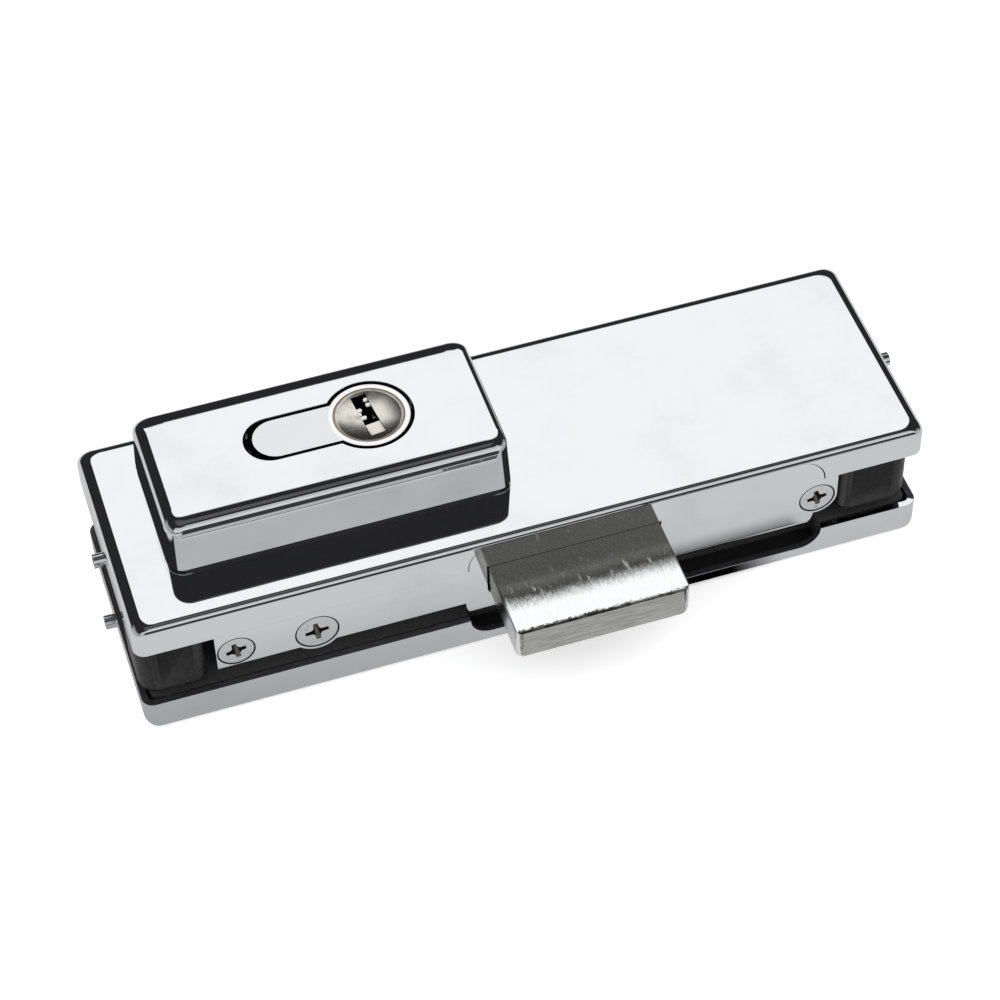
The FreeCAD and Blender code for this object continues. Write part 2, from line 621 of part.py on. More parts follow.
def housing_seal():
    """Return the thin black seal between the housing and the cover."""
    grow = SEAL_PROUD
    corner = HOUSING_CORNER + grow
    heights = (TOP, HOUSING_BOTTOM)
    xs = (HOUSING_LEFT - grow, HOUSING_RIGHT + grow)
    ys = (HOUSING_FRONT - grow, HOUSING_BACK + grow)
    outer = box(xs, ys, heights)
    outer = outer.makeFillet(corner, [e for e in outer.Edges if abs(e.tangentAt(e.FirstParameter).z) > 0.5])
    inner = box((HOUSING_LEFT + SEAL_WIDTH, HOUSING_RIGHT - SEAL_WIDTH),
                (HOUSING_FRONT + SEAL_WIDTH, HOUSING_BACK - SEAL_WIDTH), heights)
    return outer.cut(inner)


def housing_screws():
    """Return the two screws that hold the housing from inside the front cover."""
    seat = TOP - COVER_WALL
    screws = []
    for x in HOUSING_SCREWS_X:
        screw = socket_screw(M4, HOUSING_SCREW_HEAD_RADIUS, HOUSING_SCREW_HEAD_HEIGHT, HOUSING_SCREW_LENGTH)
        screws.append(placed(screw, Vector(x, HOUSING_SCREW_Y, seat), UP))
    return Part.makeCompound(screws)


def bolt_channel():
    """Return the space that the bolt runs in, through the face plate and the case."""
    low = BOLT_BOTTOM - BOLT_CLEARANCE
    corner = BOLT_LOWER_ROUND + BOLT_CLEARANCE
    limits = (BOLT_LEFT - BOLT_CLEARANCE, BOLT_RIGHT + BOLT_CLEARANCE)
    return block_with_rounds(limits, (FRONT - 1, CASE_FRONT + 1), (low, BOLT_TOP + BOLT_CLEARANCE),
                             ((limits[0], low, corner), (limits[1], low, corner)))


def face_screw_places():
    """Return the point on the face plate's front where each face screw sits."""
    return [Vector(x, FACE_FRONT, FACE_SCREW_HEIGHT) for x in (LEFT_SCREW_X, RIGHT_SCREW_X)]


def case_face():
    """Return the face plate: arm, block, tab in the cover's notch, lug and ear in one piece."""
    depth = (FACE_FRONT, CASE_FRONT)
    rim = GAP_HIGH - SEAM
    tab_top = GAP_HIGH + FRONT_NOTCH_HEIGHT - SEAM
    tab_left = NOTCH_LEFT + SEAM
    tab_right = NOTCH_RIGHT - SEAM
    limit = FRONT_NOTCH_HEIGHT - SEAM
    ear_radius = M4_HEAD + EAR_MARGIN
    ear_limits = (RIGHT_SCREW_X - ear_radius, RIGHT_SCREW_X + ear_radius)
    arm = box((FACE_LEFT, tab_right), depth, (ARM_BOTTOM, rim))
    block = block_with_rounds((BLOCK_LEFT, BLOCK_RIGHT), depth, (BLOCK_BOTTOM, rim),
                              ((BLOCK_LEFT, BLOCK_BOTTOM, BLOCK_LEFT_ROUND),
                               (BLOCK_RIGHT, BLOCK_BOTTOM, BLOCK_RIGHT_ROUND)))
    tab = block_with_rounds((tab_left, tab_right), depth, (ARM_BOTTOM, tab_top),
                            ((tab_left, tab_top, min(NOTCH_LEFT_ROUND, limit)),
                             (tab_right, tab_top, min(NOTCH_RIGHT_ROUND, limit))))
    ear = box(ear_limits, depth, (FACE_SCREW_HEIGHT, rim))
    ear_end = rod(ear_radius, Vector(RIGHT_SCREW_X, FACE_FRONT, FACE_SCREW_HEIGHT), TO_BACK,
                  CASE_FRONT - FACE_FRONT)
    lug = rod(M5_HEAD + LUG_MARGIN, Vector(FIXING_X, FACE_FRONT, FIXING_HEIGHT), TO_BACK,
              CASE_FRONT - FACE_FRONT)
    tab = tab.cut(box((BLOCK_RIGHT, tab_right + 1), depth, (0, FACE_SCREW_HEIGHT)))
    arm = arm.cut(box((BLOCK_RIGHT, tab_right + 1), depth, (0, FACE_SCREW_HEIGHT)))
    plate = joined(arm, block, tab, ear, ear_end, lug)
    front_round = box((FACE_LEFT - 1, RIGHT), depth, (BLOCK_BOTTOM, TOP))
    front_round = front_round.makeFillet(BLOCK_FRONT_ROUND,
                                         edges_at(front_round, y=FACE_FRONT, z=BLOCK_BOTTOM))
    plate = plate.common(front_round).cut(bolt_channel())
    for point in face_screw_places():
        plate = plate.cut(placed(countersink(M4, M4_HEAD, FACE_SCREW_LENGTH), sunk(point), TO_BACK))
    fixing = Vector(FIXING_X, FACE_FRONT, FIXING_HEIGHT)
    return plate.cut(placed(countersink(M5, M5_HEAD, FIXING_SCREW_LENGTH), sunk(fixing), TO_BACK))


def sunk(point):
    """Return a point on the face plate's front moved in by the depth that screw heads sit at."""
    return point + Vector(0, HEAD_SINK, 0)


def face_screws():
    """Return the two countersunk screws that hold the face plate on the case."""
    screw = countersunk_screw(M4, M4_HEAD, FACE_SCREW_LENGTH)
    return Part.makeCompound([placed(screw, sunk(point), TO_BACK) for point in face_screw_places()])


def cylinder_fixing_screw():
    """Return the long screw through the face plate that holds the key cylinder."""
    screw = countersunk_screw(M5, M5_HEAD, FIXING_SCREW_LENGTH)
    return placed(screw, sunk(Vector(FIXING_X, FACE_FRONT, FIXING_HEIGHT)), TO_BACK)


def lock_case():
    """Return the cast case with its pockets for the bolt, the cam and the key cylinder."""
    heights = (FLOOR_TOP, GAP_HIGH + 1)
    case = box((CASE_LEFT, CASE_RIGHT), (CASE_FRONT, CASE_BACK), (GAP_LOW, GAP_HIGH))
    channel = box((BOLT_LEFT - BOLT_CLEARANCE, BOLT_RIGHT + BOLT_CLEARANCE),
                  (CASE_FRONT - 1, CASE_INNER_BACK), heights)
    tail_path = box((BOLT_LEFT - TAIL_REACH - PROFILE_CLEARANCE, BOLT_LEFT),
                    (TAIL_FRONT - BOLT_CLEARANCE, CASE_INNER_BACK), heights)
    cam_room = upright(CAM_REACH + CAM_SWEEP_CLEARANCE, AXIS_X, AXIS_Y, (FLOOR_TOP, CAM_SLOT_TOP))
    cylinder_room = euro_profile((0, TOP), PROFILE_CLEARANCE)
    fixing = rod(M5 + PROFILE_CLEARANCE, Vector(FIXING_X, CASE_FRONT - 1, FIXING_HEIGHT), TO_BACK,
                 AXIS_Y - CASE_FRONT)
    drag = rod(DRAG_RADIUS + RUNNING_CLEARANCE, Vector(BOLT_RIGHT, DRAG_Y, drag_height()), TO_RIGHT,
               BOLT_CLEARANCE + DRAG_PAD_LENGTH + DRAG_SPRING_LENGTH)
    case = case.cut([channel, tail_path, cam_room, cylinder_room, fixing, drag])
    for point in face_screw_places():
        case = case.cut(rod(M4 + SCREW_FIT, point, TO_BACK, FACE_SCREW_LENGTH + 1))
    for x, y in lid_places():
        case = case.cut(upright(M3 + SCREW_FIT, x, y, (LID_TOP - LID_SCREW_LENGTH - SCREW_FIT, TOP)))
    for x, y in fixing_places():
        case = case.cut(upright(M4 + SCREW_FIT, x, y, (0, case_screw_tip() + SCREW_FIT)))
    return case


def drag_height():
    """Return the height of the drag pad's axis, at the middle of the bolt."""
    return (BOLT_BOTTOM + BOLT_TOP) / 2


def case_screw_tip():
    """Return the height that the case screws reach up to."""
    return COVER_WALL + PLATE_SEAT + CASE_SCREW_HEAD_HEIGHT + RECESS_CLEARANCE + CASE_SCREW_LENGTH


def case_lid():
    """Return the lid that keeps the bolt and its tail in the case."""
    lid = box((CASE_LEFT, CASE_RIGHT), (CASE_FRONT, CASE_BACK), (GAP_HIGH, LID_TOP))
    lid = lid.cut(euro_profile((0, TOP), PROFILE_CLEARANCE))
    for x, y in lid_places():
        lid = lid.cut(placed(countersink(M3, M3_HEAD, LID_SCREW_LENGTH), Vector(x, y, LID_TOP), DOWN))
    return lid


def case_lid_screws():
    """Return the four screws of the case lid."""
    screw = countersunk_screw(M3, M3_HEAD, LID_SCREW_LENGTH)
    return Part.makeCompound([placed(screw, Vector(x, y, LID_TOP), DOWN) for x, y in lid_places()])


def case_screws():
    """Return the four screws that hold the case on the back clamp plate."""
    seat = COVER_WALL + PLATE_SEAT + CASE_SCREW_HEAD_HEIGHT + RECESS_CLEARANCE
    screw = socket_screw(M4, CASE_SCREW_HEAD_RADIUS, CASE_SCREW_HEAD_HEIGHT, CASE_SCREW_LENGTH)
    return Part.makeCompound([placed(screw, Vector(x, y, seat), UP) for x, y in fixing_places()])


def tail_pin_places():
    """Return the x and y of the two pins that hold the tail in the bolt."""
    x = BOLT_LEFT + TAIL_ROOT / 2
    return [(x, NOTCH_CENTRE + side * TAIL_PIN_SPACING / 2) for side in (-1, 1)]


def bolt():
    """Return the flat bolt with its rounded nose and the pocket for its tail."""
    limits = (BOLT_LEFT, BOLT_RIGHT)
    body = block_with_rounds(limits, (BOLT_TIP, BOLT_REAR), (BOLT_BOTTOM, BOLT_TOP),
                             ((limits[0], BOLT_BOTTOM, BOLT_LOWER_ROUND),
                              (limits[1], BOLT_BOTTOM, BOLT_LOWER_ROUND)))
    nose = [edge for edge in edges_at(body, y=BOLT_TIP)
            if edge.CenterOfMass.z < BOLT_BOTTOM + BOLT_LOWER_ROUND]
    body = body.makeFillet(BOLT_NOSE_ROUND, nose)
    pocket = box((BOLT_LEFT - 1, BOLT_LEFT + TAIL_ROOT + SCREW_FIT),
                 (TAIL_FRONT - SCREW_FIT, BOLT_REAR + 1), (BOLT_BOTTOM - 1, TAIL_TOP + SCREW_FIT))
    body = body.cut(pocket)
    for x, y in tail_pin_places():
        body = body.cut(upright(TAIL_PIN_RADIUS + SCREW_FIT, x, y, (TAIL_BOTTOM, BOLT_TOP + 1)))
    return body


def bolt_tail():
    """Return the drive plate in the bolt, with the notch that the cam's nose moves in."""
    plate = box((BOLT_LEFT - TAIL_REACH, BOLT_LEFT + TAIL_ROOT), (TAIL_FRONT, TAIL_BACK),
                (TAIL_BOTTOM, TAIL_TOP))
    notch = box((BOLT_LEFT - TAIL_REACH - 1, BOLT_LEFT),
                (NOTCH_CENTRE - NOTCH_HALF, NOTCH_CENTRE + NOTCH_HALF), (BOLT_BOTTOM, BOLT_TOP))
    plate = plate.cut(notch)
    for x, y in tail_pin_places():
        plate = plate.cut(upright(TAIL_PIN_RADIUS + SCREW_FIT, x, y, (BOLT_BOTTOM, BOLT_TOP)))
    return plate


def tail_pins():
    """Return the two dowels through the bolt and its tail."""
    heights = (TAIL_BOTTOM, BOLT_TOP)
    return Part.makeCompound([upright(TAIL_PIN_RADIUS, x, y, heights) for x, y in tail_pin_places()])


def bolt_guide():
    """Return the bearing block that the bolt slides on."""
    return box((BOLT_LEFT - RUNNING_CLEARANCE, BOLT_RIGHT + RUNNING_CLEARANCE),
               (CASE_FRONT, CASE_INNER_BACK), (FLOOR_TOP, BOLT_BOTTOM - SLIDE_CLEARANCE))


def drag_pad():
    """Return the pad that presses on the bolt's side."""
    start = Vector(BOLT_RIGHT + BOLT_CLEARANCE, DRAG_Y, drag_height())
    return rod(DRAG_RADIUS, start, TO_RIGHT, DRAG_PAD_LENGTH)


def drag_spring():
    """Return the space of the hidden spring behind the drag pad."""
    start = Vector(BOLT_RIGHT + BOLT_CLEARANCE + DRAG_PAD_LENGTH, DRAG_Y, drag_height())
    outer = rod(DRAG_RADIUS - SPRING_WIRE, start, TO_RIGHT, DRAG_SPRING_LENGTH)
    return outer.cut(rod(DRAG_RADIUS - 3 * SPRING_WIRE, start, TO_RIGHT, DRAG_SPRING_LENGTH))


def pin_heights(count):
    """Return the height of each pin's axis, counted down from the key side."""
    return [BODY_TOP - FIRST_PIN_DEPTH - PIN_PITCH * step for step in range(count)]


def chamber_start():
    """Return the x of the cylinder bore's wall, where the driver pins begin."""
    return AXIS_X - PLUG_RADIUS - RUNNING_CLEARANCE


def cylinder_body():
    """Return the key cylinder's body: Euro profile, bores, cam slot and pin chambers."""
    body = euro_profile((BODY_BOTTOM, BODY_TOP))
    bore = upright(PLUG_RADIUS + RUNNING_CLEARANCE, AXIS_X, AXIS_Y, (CAM_SLOT_BOTTOM + 1, BODY_TOP + 1))
    head_room = upright(PLUG_HEAD_RADIUS + RUNNING_CLEARANCE, AXIS_X, AXIS_Y,
                        (BODY_TOP - PLUG_HEAD_DEPTH - RUNNING_CLEARANCE, BODY_TOP + 1))
    cam_slot = upright(CAM_REACH + CAM_SWEEP_CLEARANCE, AXIS_X, AXIS_Y, (CAM_SLOT_BOTTOM, CAM_SLOT_TOP))
    rear_bore = upright(PLUG_SHAFT_RADIUS + RUNNING_CLEARANCE, AXIS_X, AXIS_Y, (0, CAM_SLOT_TOP))
    fixing_start = Vector(FIXING_X, AXIS_Y - TAIL_WIDTH, FIXING_HEIGHT)
    fixing = rod(M5 + SCREW_FIT, fixing_start, TO_BACK, 2 * TAIL_WIDTH)
    body = body.cut([bore, head_room, cam_slot, rear_bore, fixing])
    for height in pin_heights(PIN_COUNT):
        body = body.cut(rod(PIN_RADIUS + PIN_FIT, Vector(AXIS_X, AXIS_Y, height), TO_LEFT, PROFILE_HEIGHT))
    return body


def driver_pins():
    """Return the driver pins, which stand at the edge of the plug as they do with the key in."""
    start = chamber_start()
    return Part.makeCompound([rod(PIN_RADIUS, Vector(start, AXIS_Y, height), TO_LEFT, DRIVER_LENGTH)
                              for height in pin_heights(PIN_COUNT)])


def pin_springs():
    """Return the space of each hidden pin spring."""
    start = chamber_start() - DRIVER_LENGTH
    length = start - (PROFILE_TAIL + CHAMBER_PLUG_LENGTH)
    springs = []
    for height in pin_heights(PIN_COUNT):
        point = Vector(start, AXIS_Y, height)
        coil = rod(PIN_RADIUS, point, TO_LEFT, length)
        springs.append(coil.cut(rod(PIN_RADIUS - SPRING_WIRE, point, TO_LEFT, length)))
    return Part.makeCompound(springs)


def chamber_plugs():
    """Return the small plugs that close the pin chambers at the cylinder's tail."""
    seat = PROFILE_TAIL + CHAMBER_PLUG_LENGTH
    return Part.makeCompound([rod(PIN_RADIUS + PIN_FIT / 2, Vector(seat, AXIS_Y, height), TO_LEFT,
                                  CHAMBER_PLUG_LENGTH - PIN_FIT)
                              for height in pin_heights(PIN_COUNT)])


def cylinder_plug():
    """Return the plug: dished face, key slot, pin holes and the shaft that carries the cam."""
    face = BODY_TOP - RUNNING_CLEARANCE
    head_low = BODY_TOP - PLUG_HEAD_DEPTH
    plug_low = CAM_SLOT_TOP + RUNNING_CLEARANCE
    head = upright(PLUG_HEAD_RADIUS, AXIS_X, AXIS_Y, (head_low, face))
    barrel = upright(PLUG_RADIUS, AXIS_X, AXIS_Y, (plug_low, head_low))
    shaft = upright(PLUG_SHAFT_RADIUS, AXIS_X, AXIS_Y, (shaft_tip(), plug_low))
    plug = joined(head, barrel, shaft)
    sphere_radius = (DISH_RADIUS ** 2 + DISH_DEPTH ** 2) / (2 * DISH_DEPTH)
    dish = Part.makeSphere(sphere_radius, Vector(AXIS_X, AXIS_Y, face - DISH_DEPTH + sphere_radius))
    half_key = KEYWAY_WIDTH / 2
    key_sides = (AXIS_X - half_key, AXIS_X + half_key)
    mouth = box(key_sides, (AXIS_Y - KEY_MOUTH_FRONT, AXIS_Y), (face - KEY_MOUTH_DEPTH, TOP + WIDTH))
    slot = box(key_sides, (AXIS_Y - KEYWAY_FRONT, AXIS_Y + KEYWAY_BACK), (face - KEYWAY_DEPTH, TOP + WIDTH))
    plug = plug.cut([dish, mouth, slot])
    for height in pin_heights(PIN_COUNT):
        plug = plug.cut(rod(PIN_RADIUS + PIN_FIT, Vector(AXIS_X, AXIS_Y, height), TO_LEFT, PROFILE_RADIUS))
    for height in pin_heights(SIDE_PIN_COUNT):
        point = Vector(AXIS_X, AXIS_Y + SIDE_PIN_OFFSET, height)
        plug = plug.cut(rod(SIDE_PIN_RADIUS + PIN_FIT, point, TO_RIGHT, PLUG_RADIUS - side_pin_inset()))
    groove = ring(CLIP_RADIUS, PLUG_SHAFT_RADIUS - CLIP_GROOVE, clip_heights())
    return plug.cut(groove)


def side_pin_inset():
    """Return how far the closed end of a side pin's hole stays inside the plug."""
    return PLUG_RADIUS - math.sqrt(PLUG_RADIUS ** 2 - SIDE_PIN_OFFSET ** 2) + SIDE_PIN_RADIUS


def ring(outer_radius, inner_radius, z_limits):
    """Return a flat ring round the plug's axis."""
    outer = upright(outer_radius, AXIS_X, AXIS_Y, z_limits)
    return outer.cut(upright(inner_radius, AXIS_X, AXIS_Y, z_limits))


def clip_heights():
    """Return the lower and upper height of the retaining ring behind the cylinder."""
    upper = BODY_BOTTOM - RUNNING_CLEARANCE
    return (upper - CLIP_THICKNESS, upper)


def shaft_tip():
    """Return the height of the plug shaft's end, just past the retaining ring."""
    return clip_heights()[0] - SHAFT_END


def plug_clip():
    """Return the retaining ring on the plug's shaft."""
    return ring(CLIP_RADIUS, PLUG_SHAFT_RADIUS - CLIP_GROOVE, clip_heights())


def key_pins():
    """Return the key pins, whose pointed tips stand in the key slot."""
    wall = AXIS_X - KEYWAY_WIDTH / 2
    tip = wall + KEY_PIN_SHOW
    end = AXIS_X - PLUG_RADIUS + PIN_FIT
    pins = []
    shoulder = tip - PIN_RADIUS / 2
    for height in pin_heights(PIN_COUNT):
        place = Vector(shoulder, AXIS_Y, height)
        shank = rod(PIN_RADIUS, place, TO_LEFT, shoulder - end)
        point = Part.makeCone(PIN_RADIUS, PIN_RADIUS / 2, PIN_RADIUS / 2, place, TO_RIGHT)
        pins.append(joined(shank, point))
    return Part.makeCompound(pins)


def side_pins():
    """Return the short pins on the other side of the key slot."""
    wall = AXIS_X + KEYWAY_WIDTH / 2
    length = PLUG_RADIUS - side_pin_inset() - KEYWAY_WIDTH / 2
    pins = []
    for height in pin_heights(SIDE_PIN_COUNT):
        start = Vector(wall - KEY_PIN_SHOW, AXIS_Y + SIDE_PIN_OFFSET, height)
        pins.append(rod(SIDE_PIN_RADIUS, start, TO_RIGHT, length + KEY_PIN_SHOW - PIN_FIT))
    return Part.makeCompound(pins)


def cylinder_cam():
    """Return the cam on the plug's shaft, with its nose in the bolt tail's notch."""
    heights = (FIXING_HEIGHT - CAM_THICKNESS / 2, FIXING_HEIGHT + CAM_THICKNESS / 2)
    hub = upright(CAM_HUB_RADIUS, AXIS_X, AXIS_Y, heights)
    neck = box((AXIS_X, AXIS_X + CAM_ARM), (AXIS_Y - CAM_NECK / 2, AXIS_Y + CAM_NECK / 2), heights)
    nose = upright(NOSE_RADIUS, AXIS_X + CAM_ARM, AXIS_Y, heights)
    cam = joined(hub, neck, nose)
    cam.rotate(Vector(AXIS_X, AXIS_Y, 0), UP, -CAM_SWING / 2)
    return cam.cut(upright(PLUG_SHAFT_RADIUS + SCREW_FIT, AXIS_X, AXIS_Y, (0, TOP)))


def main():
    """Build each piece and write it to its own file."""
    left_peg, right_peg = end_peg_places()
    pieces = {
        "front_cover": front_cover(),
        "back_cover": back_cover(),
        "cover_grub_screws": cover_grub_screws(),
        "cylinder_housing": cylinder_housing(),
        "housing_seal": housing_seal(),
        "housing_screws": housing_screws(),
        "front_clamp_plate": front_clamp_plate(),
        "back_clamp_plate": back_clamp_plate(),
        "front_gasket": gasket(GAP_HIGH - GASKET_THICKNESS),
        "back_gasket": gasket(GAP_LOW),
        "clamp_screws": clamp_screws(),
        "clamp_sleeves": clamp_sleeves(),
        "end_block_left": end_block((END_BLOCK_LEFT, END_BLOCK_LEFT_INNER), left_peg),
        "end_block_right": end_block((END_BLOCK_RIGHT_INNER, END_BLOCK_RIGHT), right_peg),
        "lock_case": lock_case(),
        "case_lid": case_lid(),
        "case_lid_screws": case_lid_screws(),
        "case_screws": case_screws(),
        "case_face": case_face(),
        "face_screws": face_screws(),
        "cylinder_fixing_screw": cylinder_fixing_screw(),
        "cylinder_body": cylinder_body(),
        "driver_pins": driver_pins(),
        "pin_springs": pin_springs(),
        "chamber_plugs": chamber_plugs(),
        "bolt": bolt(),
        "bolt_tail": bolt_tail(),
        "tail_pins": tail_pins(),
        "bolt_guide": bolt_guide(),
        "drag_pad": drag_pad(),
        "drag_spring": drag_spring(),
        "cylinder_plug": cylinder_plug(),
        "plug_clip": plug_clip(),
        "key_pins": key_pins(),
        "side_pins": side_pins(),
        "cylinder_cam": cylinder_cam(),
    }
    os.makedirs("parts", exist_ok=True)
    for name, shape in pieces.items():
        shape.exportStep(f"parts/{name}.step")
        print(name, len(shape.Solids), round(shape.Volume, 1), shape.isValid())


main()
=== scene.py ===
"""Dresses the corner patch lock, piece by piece, and sets it in a pale studio."""

import json
import logging
import math
from dataclasses import dataclass
from enum import Enum
from functools import cache

import bmesh
import bpy
from mathutils import Matrix, Vector

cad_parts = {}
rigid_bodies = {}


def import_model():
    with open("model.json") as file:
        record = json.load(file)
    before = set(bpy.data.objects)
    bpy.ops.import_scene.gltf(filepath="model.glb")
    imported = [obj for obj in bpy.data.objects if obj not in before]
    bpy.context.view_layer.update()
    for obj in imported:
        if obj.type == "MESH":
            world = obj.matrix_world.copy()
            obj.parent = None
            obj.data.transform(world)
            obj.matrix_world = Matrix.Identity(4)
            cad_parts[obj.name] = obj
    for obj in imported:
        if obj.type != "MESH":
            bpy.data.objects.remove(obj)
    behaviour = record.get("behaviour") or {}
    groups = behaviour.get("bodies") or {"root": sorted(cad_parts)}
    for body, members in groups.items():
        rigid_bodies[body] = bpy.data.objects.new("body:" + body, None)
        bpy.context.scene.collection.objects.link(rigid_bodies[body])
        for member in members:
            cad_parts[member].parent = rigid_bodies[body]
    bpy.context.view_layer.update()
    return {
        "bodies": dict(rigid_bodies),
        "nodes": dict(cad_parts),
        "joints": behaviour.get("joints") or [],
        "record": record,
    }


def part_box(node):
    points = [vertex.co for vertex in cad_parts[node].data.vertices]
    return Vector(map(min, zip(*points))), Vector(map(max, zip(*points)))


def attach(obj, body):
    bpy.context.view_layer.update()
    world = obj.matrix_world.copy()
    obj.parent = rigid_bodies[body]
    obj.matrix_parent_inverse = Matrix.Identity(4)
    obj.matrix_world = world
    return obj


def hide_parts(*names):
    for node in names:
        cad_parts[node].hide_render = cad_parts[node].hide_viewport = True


LOG = logging.getLogger("patch_lock")
MM = 0.001
PAST = 1.0 * MM  # how far a cutter reaches past what it cuts
PLUG_AXIS = (-26.5 * MM, 4.0 * MM)
CORNER_STEPS = 14
Point = tuple[float, float]
Limits = tuple[float, float]
Colour = tuple[float, float, float]
Stretch = tuple[float, float, float]


class Face(Enum):
    """Which way a cover's polished face looks."""

    UP = 1
    DOWN = -1


class Plane(Enum):
    """The plane that an outline is drawn in, by the axis that it is given depth along."""

    SIDE = 0
    FRONT = 1
    LEVEL = 2


class Carving(Enum):
    """How other shapes change a piece: cut out of it, joined to it, or what it is trimmed to."""

    CUT = "DIFFERENCE"
    JOIN = "UNION"
    TRIM = "INTERSECT"


def arc(centre: Point, radius: float, start: float, end: float, steps: int) -> list[Point]:
    """Give points along an arc.

    Args:
        centre: The arc's centre.
        radius: Its radius.
        start: The first angle in degrees.
        end: The last angle in degrees.
        steps: The number of chords.

    Returns:
        The points, both ends included.
    """
    turns = [math.radians(start + (end - start) * step / steps) for step in range(steps + 1)]
    return [(centre[0] + radius * math.cos(turn), centre[1] + radius * math.sin(turn))
            for turn in turns]


def rounded_rectangle(xs: Limits, ys: Limits, radius: float, steps: int = 10) -> list[Point]:
    """Give the outline of a rectangle with round corners.

    Args:
        xs: The limits along the first axis.
        ys: The limits along the second axis.
        radius: The corner radius.
        steps: The number of chords in each corner.

    Returns:
        The outline's points, anticlockwise.
    """
    corners = ((xs[1], ys[1], 0), (xs[0], ys[1], 90), (xs[0], ys[0], 180), (xs[1], ys[0], 270))
    outline = []
    for x, y, start in corners:
        centre = (x - math.copysign(radius, x - sum(xs) / 2),
                  y - math.copysign(radius, y - sum(ys) / 2))
        outline += arc(centre, radius, start, start + 90, steps)
    return outline


def key_profile(axis: Point, radius: float, half_tail: float, tail_end: float) -> list[Point]:
    """Give the outline of a key cylinder: a round head with a narrower tail towards -X.

    Args:
        axis: The plug's axis.
        radius: The head's radius.
        half_tail: Half the tail's width.
        tail_end: The x of the tail's round end.

    Returns:
        The outline's points, anticlockwise.
    """
    meet = math.degrees(math.asin(half_tail / radius))
    head = arc(axis, radius, meet - 180, 180 - meet, 60)
    return head + arc((tail_end + half_tail, axis[1]), half_tail, 90, 270, 28)


def named_object(name: str, shape: bmesh.types.BMesh) -> bpy.types.Object:
    """Turn a finished shape into a named object of the scene.

    Args:
        name: The piece's name.
        shape: Its shape, which is freed.

    Returns:
        The new object.
    """
    mesh = bpy.data.meshes.new(name)
    shape.to_mesh(mesh)
    shape.free()
    piece = bpy.data.objects.new(name, mesh)
    bpy.context.scene.collection.objects.link(piece)
    return piece


def loft(name: str, rings: list[list[Vector]]) -> bpy.types.Object:
    """Skin a row of rings that have the same number of points, and cap both ends.

    Args:
        name: The piece's name.
        rings: The rings, in order, in metres.

    Returns:
        The new object.
    """
    shape = bmesh.new()
    rows = [[shape.verts.new(point) for point in ring] for ring in rings]
    count = len(rows[0])
    for low, high in zip(rows, rows[1:]):
        for here in range(count):
            there = (here + 1) % count
            shape.faces.new((low[here], low[there], high[there], high[here]))
    shape.faces.new(list(reversed(rows[0])))
    shape.faces.new(rows[-1])
    bmesh.ops.recalc_face_normals(shape, faces=shape.faces)
    return named_object(name, shape)


def prism(name: str, outline: list[Point], depth: Limits,
          plane: Plane = Plane.LEVEL) -> bpy.types.Object:
    """Give an outline depth.

    Args:
        name: The piece's name.
        outline: The outline in the plane's two axes, in metres.
        depth: The limits along the third axis.
        plane: The plane of the outline.

    Returns:
        The new object.
    """
    def corner(point: Point, level: float) -> Vector:
        """Place one point of the outline at a depth."""
        return Vector((*point[:plane.value], level, *point[plane.value:]))

    return loft(name, [[corner(point, level) for point in outline] for level in depth])


def lathe(name: str, profile: list[Point], steps: int = 64) -> bpy.types.Object:
    """Turn a profile of (radius, height) points round the Z axis.

    Args:
        name: The piece's name.
        profile: The profile from its lower end to its upper end, off the axis, in metres.
        steps: The number of sides.

    Returns:
        The new object.
    """
    turns = [2 * math.pi * step / steps for step in range(steps)]
    return loft(name, [[Vector((radius * math.cos(turn), radius * math.sin(turn), height))
                        for turn in turns] for radius, height in profile])


def settle(piece: bpy.types.Object) -> None:
    """Replace a piece's mesh by what its modifiers make of it.

    Args:
        piece: The piece, which keeps no modifier.
    """
    graph = bpy.context.evaluated_depsgraph_get()
    mesh = bpy.data.meshes.new_from_object(piece.evaluated_get(graph))
    piece.modifiers.clear()
    piece.data = mesh


def carve(piece: bpy.types.Object, *cutters: bpy.types.Object,
          way: Carving = Carving.CUT) -> None:
    """Change a piece by other shapes and drop them.

    Args:
        piece: The piece that is changed.
        *cutters: The shapes that change it.
        way: How they change it.
    """
    for cutter in cutters:
        change = piece.modifiers.new("carve", "BOOLEAN")
        change.operation = way.value
        change.object = cutter
        change.solver = "EXACT"
    settle(piece)
    for cutter in cutters:
        bpy.data.objects.remove(cutter)


def add_bevel(piece: bpy.types.Object, width: float, segments: int, angle: float) -> None:
    """Round a piece's sharp edges.

    Args:
        piece: The piece.
        width: The width of the round in metres.
        segments: The number of steps across it.
        angle: The least angle in degrees that counts as a sharp edge.
    """
    bevel = piece.modifiers.new("edge", "BEVEL")
    bevel.width = width
    bevel.segments = segments
    bevel.limit_method = "ANGLE"
    bevel.angle_limit = math.radians(angle)
    settle(piece)


def keep_flats(piece: bpy.types.Object, angle: float) -> None:
    """Shade a piece smooth, with its flat faces flat and its sharp edges sharp.

    Args:
        piece: The piece.
        angle: The least angle in degrees that counts as a sharp edge.
    """
    for face in piece.data.polygons:
        face.use_smooth = True
    piece.data.set_sharp_from_angle(angle=math.radians(angle))
    flat = piece.modifiers.new("flat_faces", "WEIGHTED_NORMAL")
    flat.mode = "FACE_AREA"
    flat.weight = 100
    flat.keep_sharp = True


def move(piece: bpy.types.Object, matrix: Matrix) -> None:
    """Move a piece's mesh, so that the object itself stays at the frame's origin."""
    piece.data.transform(matrix)


def coat(piece: bpy.types.Object, *materials: bpy.types.Material) -> None:
    """Give a piece its materials.

    Args:
        piece: The piece.
        *materials: The materials, in the order of its faces' material numbers.
    """
    piece.data.materials.clear()
    for material in materials:
        piece.data.materials.append(material)


